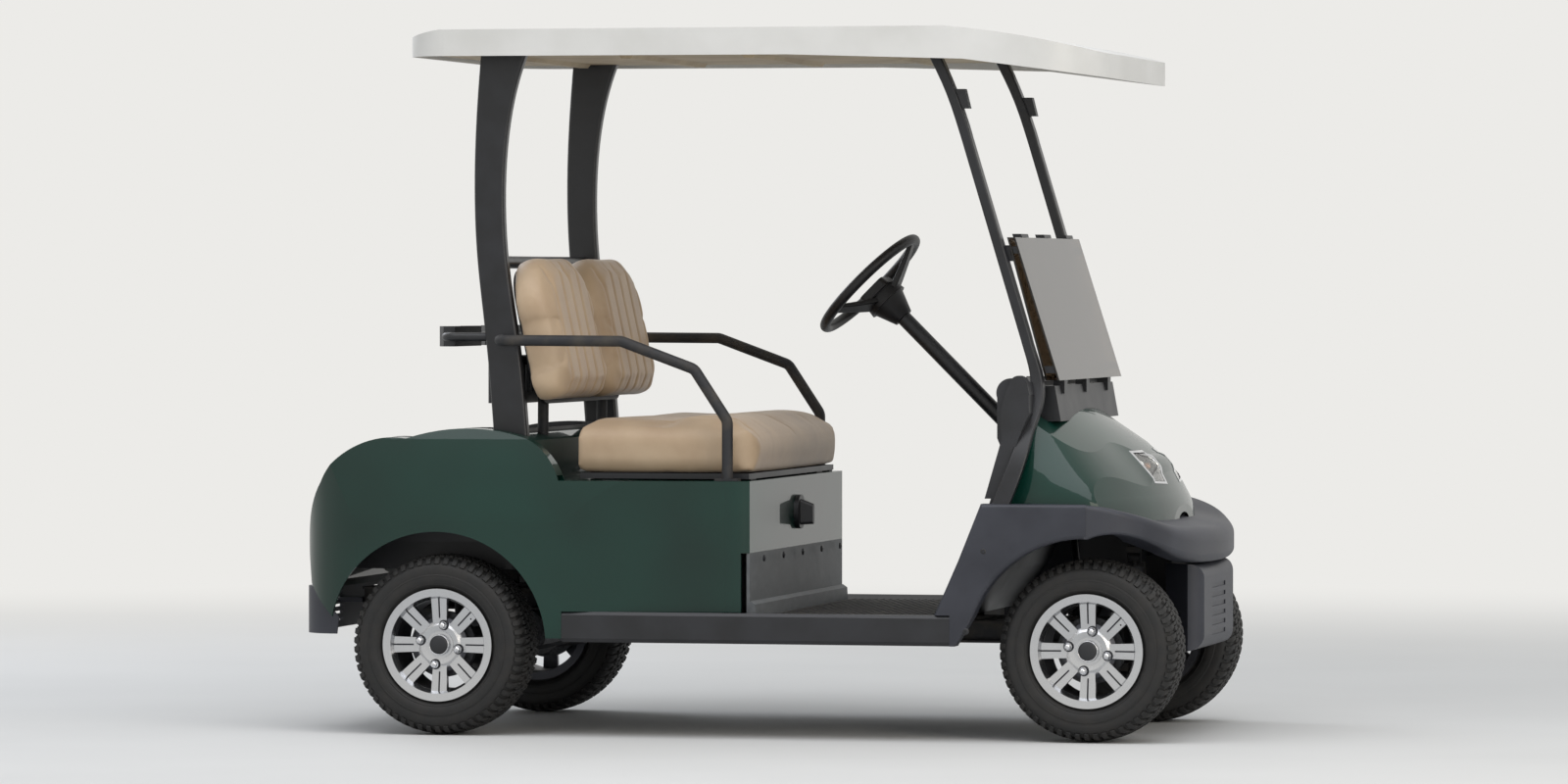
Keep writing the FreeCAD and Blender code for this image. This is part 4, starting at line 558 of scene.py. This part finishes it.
def arcThrough(a, b, c, count):  # points on the arc from a through b to c, without c
    ax, ay, bx, by, cx, cy = *a, *b, *c
    d = 2 * (ax * (by - cy) + bx * (cy - ay) + cx * (ay - by))
    aa, bb, cc = ax * ax + ay * ay, bx * bx + by * by, cx * cx + cy * cy
    ux = (aa * (by - cy) + bb * (cy - ay) + cc * (ay - by)) / d
    uy = (aa * (cx - bx) + bb * (ax - cx) + cc * (bx - ax)) / d
    start = math.atan2(ay - uy, ax - ux)
    radius = math.hypot(ax - ux, ay - uy)

    def swing(x, y):
        return (math.atan2(y - uy, x - ux) - start) % math.tau

    end = swing(cx, cy)
    if swing(bx, by) > end:
        end -= math.tau
    return [(ux + radius * math.cos(start + end * i / count), uy + radius * math.sin(start + end * i / count))
            for i in range(count)]


def tyreSkin():  # half the tyre's outline as (y, radius), from the crown's middle to the bead
    skin = []
    for arc in tyreFacts["arcs"]:
        skin += arcThrough(*arc, tyreFacts["arcSteps"])
    return skin + [tyreFacts["arcs"][-1][-1], tyreFacts["bead"]]


def alongSkin(skin, distance):  # the point at a distance along the outline, and the inward normal
    walked = 0.0
    for (y0, r0), (y1, r1) in zip(skin, skin[1:]):
        length = math.hypot(y1 - y0, r1 - r0)
        if walked + length >= distance:
            share = (distance - walked) / length
            spot = Vector((y0 + (y1 - y0) * share, r0 + (r1 - r0) * share))
            return spot, Vector((r1 - r0, -(y1 - y0))) / length
        walked += length
    return Vector(skin[-1]), Vector((-1, 0))


def carcass(name):  # the tyre's body, its crown lower than the blocks by the tread's depth
    facts, skin, half = tyreFacts, tyreSkin(), []
    for i in range(facts["crownSteps"]):
        distance = i * facts["crownStep"]
        spot, inward = alongSkin(skin, distance)
        fade = min(1, max(0, (facts["grooveEnd"] - distance) / facts["grooveFade"]))
        half.append(spot + inward * facts["treadDepth"] * fade)
    for distance, ring in facts["wall"]:
        spot, inward = alongSkin(skin, distance)
        half.append(spot + inward * (facts["wallSink"] - ring * 0.8))
    half += [Vector(point) for point in facts["hiddenEdge"]]
    profile = [(-p.x, p.y) for p in half[:0:-1]] + [(p.x, p.y) for p in half]
    build = bmesh.new()
    turnedShape(build, profile, wheelCentre(name), facts["segments"])
    bmesh.ops.recalc_face_normals(build, faces=build.faces)
    piece = meshPiece("tyreBody_" + name, build, rubber)
    shadeSmooth(piece, 50)
    return fitOut(piece, "wheel_" + name, "tyre", "tyre_" + name)


def treadBlock(build, skin, stations, side):  # one block, over stations of (distance, start, end)
    depth, inset = tyreFacts["treadDepth"] + 0.001, tyreFacts["blockInset"]
    levels = []
    for sink, shrink in ((depth, -0.0006), (0.0009, 0.0), (0.0, inset)):
        rows = []
        for n, (distance, start, end) in enumerate(stations):
            ahead = shrink if n == 0 else -shrink if n == len(stations) - 1 else 0
            spot, inward = alongSkin(skin, abs(distance + ahead))
            spot = spot + inward * sink
            y = spot.x * (1 if distance >= 0 else -1) * side
            row = []
            for reach in (start + shrink, end - shrink):
                angle = reach / tyreFacts["crownRadius"]
                row.append(build.verts.new((spot.y * math.sin(angle), y, spot.y * math.cos(angle))))
            rows.append(row)
        levels.append(rows)
    for lower, upper in zip(levels, levels[1:]):
        around = [r[0] for r in lower] + [r[1] for r in reversed(lower)]
        above = [r[0] for r in upper] + [r[1] for r in reversed(upper)]
        for i in range(len(around)):
            j = (i + 1) % len(around)
            build.faces.new((around[i], around[j], above[j], above[i]))
    for r0, r1 in zip(levels[-1], levels[-1][1:]):
        build.faces.new((r0[0], r0[1], r1[1], r1[0]))
    for r0, r1 in zip(levels[0], levels[0][1:]):
        build.faces.new((r0[0], r1[0], r1[1], r0[1]))


def treadRing(name):  # one pitch of blocks, copied round the tyre
    skin = tyreSkin()
    pitch = math.tau * tyreFacts["crownRadius"] / tyreFacts["pitches"]
    build = bmesh.new()
    for side in (1, -1):
        sway = pitch * 0.5 * (side > 0)
        for block in tyreFacts["blocks"]:
            treadBlock(build, skin, [(distance, sway + start + pitch * first, sway + pitch * last)
                                     for distance, start, first, last in block], side)
    bmesh.ops.recalc_face_normals(build, faces=build.faces)
    piece = meshPiece("treadBlocks_" + name, build, rubber)
    addPattern(piece, ringOfCopies, {"copies": tyreFacts["pitches"], "firstTurn": 0.0,
                                     "centre": wheelCentre(name), "finish": rubber})
    shadeSmooth(piece, 40)
    return fitOut(piece, "wheel_" + name, "tyre")


for name in wheelNames:
    carcass(name)
    treadRing(name)
print("tyres done")


# Wheel trim: four acorn nuts, a black cap with a bright rim, and a valve on each wheel

wheelTrim = {
    "nutCircle": 0.0508, "nutTurn": 12.5, "nutRadius": 0.0105, "nutFrom": 0.068, "nutTo": 0.088,
    "nutSkirt": 0.008, "nutBevel": (0.0095, 0.0092), "domeRadius": 0.0088,
    "capRadius": 0.0235, "capFrom": 0.070, "capTo": 0.0785, "capRimGap": 0.0012, "capRimWidth": 0.0016,
    "capRimRise": 0.0022, "valveCircle": 0.108, "valveTurn": 0.9,
    "valve": ((0.040, 0.0002), (0.040, 0.0048), (0.062, 0.0042), (0.063, 0.0034), (0.070, 0.0034),
              (0.0705, 0.0002)),
}


def domed(build, centre, side, radius, foot, top, count):  # a round head that stands on a wheel's face
    profile = [(foot, 0.0002), (foot, radius)]
    for i in range(7):
        angle = math.radians(15 * i)
        rise = 0.35 + 0.65 * math.sin(angle)
        profile.append((foot + (top - foot) * rise, max(radius * math.cos(angle), 0.0002)))
    turnedShape(build, [(side * y, r) for y, r in profile], centre, count)


def acornNuts(name, side):  # a hexagon with a domed end, copied to four places
    build = bmesh.new()
    facts = wheelTrim
    spot = Vector((0, 0, facts["nutCircle"]))
    bevelRise, bevelRadius = facts["nutBevel"]
    rows = []
    wide = facts["nutRadius"]
    for rise, r in ((0, wide), (facts["nutSkirt"], wide), (bevelRise, bevelRadius)):
        y = side * (facts["nutFrom"] + rise)
        rows.append([build.verts.new(spot + Vector((r * math.sin(math.tau * i / 6), y,
                                                    r * math.cos(math.tau * i / 6)))) for i in range(6)])
    for low, high in zip(rows, rows[1:]):
        for i in range(6):
            build.faces.new((low[i], low[(i + 1) % 6], high[(i + 1) % 6], high[i]))
    build.faces.new(rows[0])
    build.faces.new(rows[-1])
    domed(build, spot, side, facts["domeRadius"], facts["nutFrom"] + facts["nutSkirt"], facts["nutTo"], 14)
    bmesh.ops.recalc_face_normals(build, faces=build.faces)
    piece = meshPiece("acornNuts_" + name, build, chrome)
    addPattern(piece, ringOfCopies, {"copies": 4, "firstTurn": math.radians(facts["nutTurn"]),
                                     "centre": wheelCentre(name), "finish": chrome})
    shadeSmooth(piece, 30)
    return fitOut(piece, "wheel_" + name, "bright_steel")


def hubCap(name, side):  # the black cap, its rim and the valve
    facts = wheelTrim
    centre = wheelCentre(name)
    build = bmesh.new()
    domed(build, centre, side, facts["capRadius"], facts["capFrom"], facts["capTo"], 40)
    bmesh.ops.recalc_face_normals(build, faces=build.faces)
    cap = meshPiece("hubCap_" + name, build, blackAbs)
    shadeSmooth(cap, 40)
    fitOut(cap, "wheel_" + name, "black_plastic")
    build = bmesh.new()
    rise, gap, width = facts["capRimRise"], facts["capRimGap"], facts["capRimWidth"]
    ring = [(facts["capFrom"] + rise + rise * math.sin(a), facts["capRadius"] + gap + width * math.cos(a))
            for a in (math.tau * i / 8 for i in range(8))]
    turnedShape(build, [(side * y, r) for y, r in ring], centre, 48)
    bmesh.ops.recalc_face_normals(build, faces=build.faces)
    rim = meshPiece("capRim_" + name, build, chrome)
    shadeSmooth(rim, 60)
    fitOut(rim, "wheel_" + name, "bright_steel")
    build = bmesh.new()
    turn = facts["valveTurn"]
    away = facts["valveCircle"]
    foot = centre + Vector((away * math.sin(turn), 0, away * math.cos(turn)))
    turnedShape(build, [(side * y, r) for y, r in facts["valve"]], foot, 12)
    bmesh.ops.recalc_face_normals(build, faces=build.faces)
    valve = meshPiece("valve_" + name, build, rubber)
    shadeSmooth(valve, 40)
    fitOut(valve, "wheel_" + name, "tyre")


for name in wheelNames:
    side = 1 if wheelCentre(name).y > 0 else -1
    acornNuts(name, side)
    hubCap(name, side)
print("wheel trim done")


# Seat pads: each is puffed up by a short cloth simulation, then its seams are sunk

padFacts = {
    "bench": {"voxel": 0.009, "shrink": 0.008, "cap": 0.014, "fill": 0.7, "levels": 1,
              "pressure": 4.0, "frames": 20,
              "seams": (0.075, 0.5, 0.925), "seamDepth": 0.004, "seamWidth": 0.005},
    "back": {"voxel": 0.008, "shrink": 0.007, "cap": 0.013, "fill": 0.75, "levels": 1,
             "pressure": 4.0, "frames": 20,
             "seams": (0.16, 0.33, 0.5, 0.67, 0.84), "seamDepth": 0.006, "seamWidth": 0.007},
}


def mergedCopy(node, name, keep):  # a closed copy of one of a node's solids; keep picks faces by their middle
    build = bmesh.new()
    build.from_mesh(nodes[node].data)
    bmesh.ops.remove_doubles(build, verts=build.verts, dist=0.00002)
    strays = [f for f in build.faces if not keep(f.calc_center_median())]
    bmesh.ops.delete(build, geom=strays, context="FACES")
    bmesh.ops.recalc_face_normals(build, faces=build.faces)
    return meshPiece(name, build, tanVinyl)


def puffed(piece, facts, floorOf):  # remeshed, shrunk a little, blown up, and held within a few millimetres
    remesh = piece.modifiers.new("evenCloth", "REMESH")
    remesh.mode, remesh.voxel_size = "VOXEL", facts["voxel"]
    settle(piece)
    data = piece.data
    before = [v.co.copy() for v in data.vertices]
    for vertex, normal in zip(data.vertices, [v.normal.copy() for v in data.vertices]):
        vertex.co -= normal * facts["shrink"]
    cloth = piece.modifiers.new("puff", "CLOTH")
    cloth.settings.use_pressure = True
    cloth.settings.uniform_pressure_force = facts["pressure"]
    cloth.settings.effector_weights.gravity = 0.0
    cloth.point_cache.frame_start, cloth.point_cache.frame_end = 1, facts["frames"]
    scene = bpy.context.scene
    for frameNumber in range(1, facts["frames"] + 1):
        scene.frame_set(frameNumber)
    settle(piece)
    scene.frame_set(1)
    data = piece.data
    for vertex, start in zip(data.vertices, before):
        move = vertex.co - start
        if move.length > facts["cap"]:
            vertex.co = start + move * (facts["cap"] / move.length)
        vertex.co = floorOf(vertex.co, start)
    smooth = piece.modifiers.new("finer", "SUBSURF")
    smooth.levels = smooth.render_levels = facts["levels"]
    settle(piece)
    data = piece.data
    if not data.materials:
        data.materials.append(tanVinyl)
    shadeSmooth(piece, 60)
    return piece


def sewn(piece, facts, along, face):  # sunken seams across one axis, on the face that looks along another
    spots = [v.co[along] for v in piece.data.vertices]
    lines = [min(spots) + (max(spots) - min(spots)) * share for share in facts["seams"]]
    normals = [v.normal.copy() for v in piece.data.vertices]
    for vertex, normal in zip(piece.data.vertices, normals):
        toward = max(0.0, normal[face] - 0.35) / 0.65
        near = min(abs(vertex.co[along] - line) for line in lines)
        vertex.co -= normal * facts["seamDepth"] * toward * math.exp(-(near / facts["seamWidth"]) ** 2)


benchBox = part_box("seat_cushion")
shellX = -0.5  # the part of a back cushion behind this lies against its shell


def onBoard(spot, start):  # the bench lies flat on its board
    return Vector((spot.x, spot.y, max(spot.z, benchBox[0].z + 0.0005)))


def onShell(spot, start):  # a back cushion stays in front of the shell behind it
    return spot if spot.x > start.x or start.x > shellX else Vector((max(spot.x, start.x), spot.y, spot.z))


bench = puffed(mergedCopy("seat_cushion", "benchCushion", lambda c: True), padFacts["bench"], onBoard)
sewn(bench, padFacts["bench"], 1, 2)
fitOut(bench, "seat_lid", "vinyl", "seat_cushion")
for label, side in (("left", 1), ("right", -1)):
    back = mergedCopy("seat_backs", "backCushion_" + label, lambda c, side=side: c.y * side > 0)
    puffed(back, padFacts["back"], onShell)
    sewn(back, padFacts["back"], 1, 0)
    fitOut(back, "chassis", "vinyl")
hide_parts("seat_backs")
print("seat pads done")


# Headlamps: a bright bowl and an amber bulb behind each lens

lampFacts = {
    "sink": 0.024, "shrink": 0.93, "bulbRadius": 0.009, "bulbSink": 0.014, "inward": (-0.86, -0.34, -0.38),
}


def lampInside(label, side):
    facts = lampFacts
    bowl = mergedCopy("headlamps", "lampBowl_" + label, lambda c: c.y * side > 0)
    bowl.data.materials.clear()
    bowl.data.materials.append(reflector)
    spots = [v.co for v in bowl.data.vertices]
    middle = sum(spots, Vector()) / len(spots)
    x, y, z = facts["inward"]
    inward = Vector((x, y * side, z))
    for vertex in bowl.data.vertices:
        vertex.co = middle + (vertex.co - middle) * facts["shrink"] + inward * facts["sink"]
    shadeSmooth(bowl, 30)
    fitOut(bowl, "chassis", "bright_steel")
    build = bmesh.new()
    bmesh.ops.create_uvsphere(build, u_segments=24, v_segments=14, radius=facts["bulbRadius"])
    for vertex in build.verts:
        vertex.co += middle + inward * facts["bulbSink"]
    bulb = meshPiece("lampBulb_" + label, build, amber)
    shadeSmooth(bulb, 60)
    fitOut(bulb, "chassis", "lamp_clear")


lampInside("left", 1)
lampInside("right", -1)
print("headlamps done")


# Push rivets and screw heads, in straight rows

rivetFacts = {
    "radius": 0.0085, "height": 0.003, "sides": 16,
    "kickCount": 5, "kickSpot": (-0.44, 0.452), "kickStep": 0.22,
    "fenderCount": 2, "fenderSpot": (0.646, 0.479), "fenderStep": (-0.045, 0, -0.2), "fenderSink": 0.002,
}


def rivetRow(name, body, slotName, finish, copies, start, step, turn):
    build = bmesh.new()
    radius, height = rivetFacts["radius"], rivetFacts["height"]
    profile = [(-0.002, 0.0002), (-0.002, radius), (height * 0.35, radius), (height * 0.8, radius * 0.8),
               (height, radius * 0.5), (height, radius * 0.32), (height * 0.55, radius * 0.3),
               (height * 0.55, 0.0002)]
    turnedShape(build, profile, Vector(), rivetFacts["sides"])
    bmesh.ops.recalc_face_normals(build, faces=build.faces)
    piece = meshPiece(name, build, finish)
    addPattern(piece, rowOfCopies, {
        "copies": copies, "start": start, "step": step, "turn": turn, "finish": finish})
    shadeSmooth(piece, 40)
    return fitOut(piece, body, slotName)


# the dark sheet of painted shade in the nose: half its thickness, and its outline as (x, z)
shadeSheetFacts = {
    "half": 0.0015,
    "edge": ((0.78, 0.40), (0.84, 0.34), (0.98, 0.34), (1.02, 0.38), (1.02, 0.53), (0.78, 0.53)),
}


def blackShadeSheet():  # a thin upright black sheet along the middle of the nose, that hides the far side: painted shade, a dark sheet standing in for the shadow inside the nose
    build = bmesh.new()
    edge, half = shadeSheetFacts["edge"], shadeSheetFacts["half"]
    sides = [[build.verts.new((x, y, z)) for x, z in edge] for y in (-half, half)]
    build.faces.new(sides[0])
    build.faces.new(sides[1])
    for i in range(len(edge)):
        j = (i + 1) % len(edge)
        build.faces.new((sides[0][i], sides[0][j], sides[1][j], sides[1][i]))
    bmesh.ops.recalc_face_normals(build, faces=build.faces)
    return fitOut(meshPiece("noseShadeSheet", build, blackAbs), "chassis", "black_plastic")


# the black sheet in the nose is painted shade where the inside of the nose lies in shadow
blackShadeSheet()
kickBox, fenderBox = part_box("kick_panel"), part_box("front_fenders")
kickY, kickZ = rivetFacts["kickSpot"]
rivetRow("kickRivets", "chassis", "black_plastic", blackAbs, rivetFacts["kickCount"],
         (kickBox[1].x, kickY, kickZ), (0, rivetFacts["kickStep"], 0), (0, 0, -math.pi / 2))
fenderX, fenderZ = rivetFacts["fenderSpot"]
fenderY = fenderBox[1].y - rivetFacts["fenderSink"]
for label, side in (("left", 1), ("right", -1)):
    rivetRow("fenderRivets_" + label, "chassis", "black_plastic", blackAbs, rivetFacts["fenderCount"],
             (fenderX, fenderY * side, fenderZ), rivetFacts["fenderStep"],
             (0, 0, 0 if side > 0 else math.pi))
print("rivets done")


# Camera, stage and lamps

shot = {
    "nearWheel": (0.895, -0.54), "distance": 18.0, "azimuth": 10.66, "height": 1.15, "lens": 166.0,
    "aim": (0.0, 0.0, 0.865),
}


def setCamera():  # stands where the photographer stood, and takes in the whole cart
    turn = math.radians(shot["azimuth"])
    x, y = shot["nearWheel"]
    away = shot["distance"]
    eye = Vector((x + away * math.sin(turn), y - away * math.cos(turn), shot["height"]))
    data = bpy.data.cameras.new("camera")
    data.lens, data.sensor_width = shot["lens"], 36.0
    data.clip_start, data.clip_end = 0.5, 200.0
    camera = bpy.data.objects.new("camera", data)
    camera.location = eye
    camera.rotation_euler = (Vector(shot["aim"]) - eye).to_track_quat("-Z", "Y").to_euler()
    bpy.context.scene.collection.objects.link(camera)
    bpy.context.scene.camera = camera


lamps = {
    "skyPanel": {"place": (0.6, -2.2, 5.2), "aim": (0.2, 0.0, 0.6), "size": (7.0, 4.5), "power": 205.0,
                 "colour": "#f6f8ff"},
    "frontPanel": {"place": (5.5, -4.5, 2.6), "aim": (0.6, 0.0, 0.8), "size": (3.0, 3.0), "power": 90.0,
                   "colour": "#fff6e8"},
    "rearPanel": {"place": (-4.5, 3.5, 3.6), "aim": (0.0, 0.0, 0.9), "size": (3.0, 3.0), "power": 85.0,
                  "colour": "#eef3ff"},
}


def areaLamp(name, place, aim, size, power, colour):
    data = bpy.data.lights.new(name, "AREA")
    data.shape, data.size, data.size_y = "RECTANGLE", *size
    data.energy, data.color = power, linear(colour)[:3]
    lamp = bpy.data.objects.new(name, data)
    lamp.location = place
    lamp.rotation_euler = (Vector(aim) - Vector(place)).to_track_quat("-Z", "Y").to_euler()
    bpy.context.scene.collection.objects.link(lamp)


stageFacts = {"floor": "#d9d8d4", "reach": 90.0, "fadeFrom": 2.4, "fadeTo": 9.0, "backdrop": "#ecebe8",
              "world": "#dfe3e8", "worldStrength": 0.66}


def paleStage():  # a pale floor that runs out into a plain pale backdrop
    build = bmesh.new()
    bmesh.ops.create_grid(build, x_segments=1, y_segments=1, size=stageFacts["reach"])
    floorMaterial, tree, shader, place = newMaterial("paleFloor", stageFacts["floor"], {"Roughness": 0.9})
    cloud = addNode(tree, "ShaderNodeTexNoise", {"Scale": 0.8, "Detail": 3.0}, {"Vector": place})
    spread(tree, shader, cloud.outputs["Fac"], colours=("#d7d6d2", "#dbdad6"))
    away = addNode(tree, "ShaderNodeVectorMath", {"operation": "LENGTH"}, {0: place})
    fade = addNode(tree, "ShaderNodeMapRange", {
        "interpolation_type": "SMOOTHSTEP", "From Min": stageFacts["fadeFrom"],
        "From Max": stageFacts["fadeTo"]}, {"Value": away.outputs["Value"]})
    glow = addNode(tree, "ShaderNodeEmission", {"Color": linear(stageFacts["backdrop"]), "Strength": 1.0})
    blend = addNode(tree, "ShaderNodeMixShader", {}, {
        0: fade.outputs["Result"], 1: shader.outputs[0], 2: glow.outputs[0]})
    tree.links.new(blend.outputs[0], tree.nodes["Material Output"].inputs["Surface"])
    floor = meshPiece("paleFloor", build, floorMaterial)
    world = bpy.data.worlds.new("paleSky")
    bpy.context.scene.world = world
    world.use_nodes = True
    tree = world.node_tree
    plain = tree.nodes["Background"]
    plain.inputs["Color"].default_value = linear(stageFacts["world"])
    plain.inputs["Strength"].default_value = stageFacts["worldStrength"]
    seen = addNode(tree, "ShaderNodeBackground", {"Color": linear(stageFacts["backdrop"]), "Strength": 1.0})
    path = addNode(tree, "ShaderNodeLightPath")
    shown = addNode(tree, "ShaderNodeMath", {"operation": "MAXIMUM"}, {
        0: path.outputs["Is Camera Ray"], 1: addNode(tree, "ShaderNodeMath", {"operation": "MAXIMUM"}, {
            0: path.outputs["Is Glossy Ray"], 1: path.outputs["Is Transmission Ray"]}).outputs[0]})
    mix = addNode(tree, "ShaderNodeMixShader", {},
        {0: shown.outputs[0], 1: plain.outputs[0], 2: seen.outputs[0]})
    tree.links.new(mix.outputs[0], tree.nodes["World Output"].inputs["Surface"])


setCamera()
paleStage()
for name, facts in lamps.items():
    areaLamp(name, **facts)
bpy.context.scene.view_settings.view_transform = "Standard"
print("stage done")
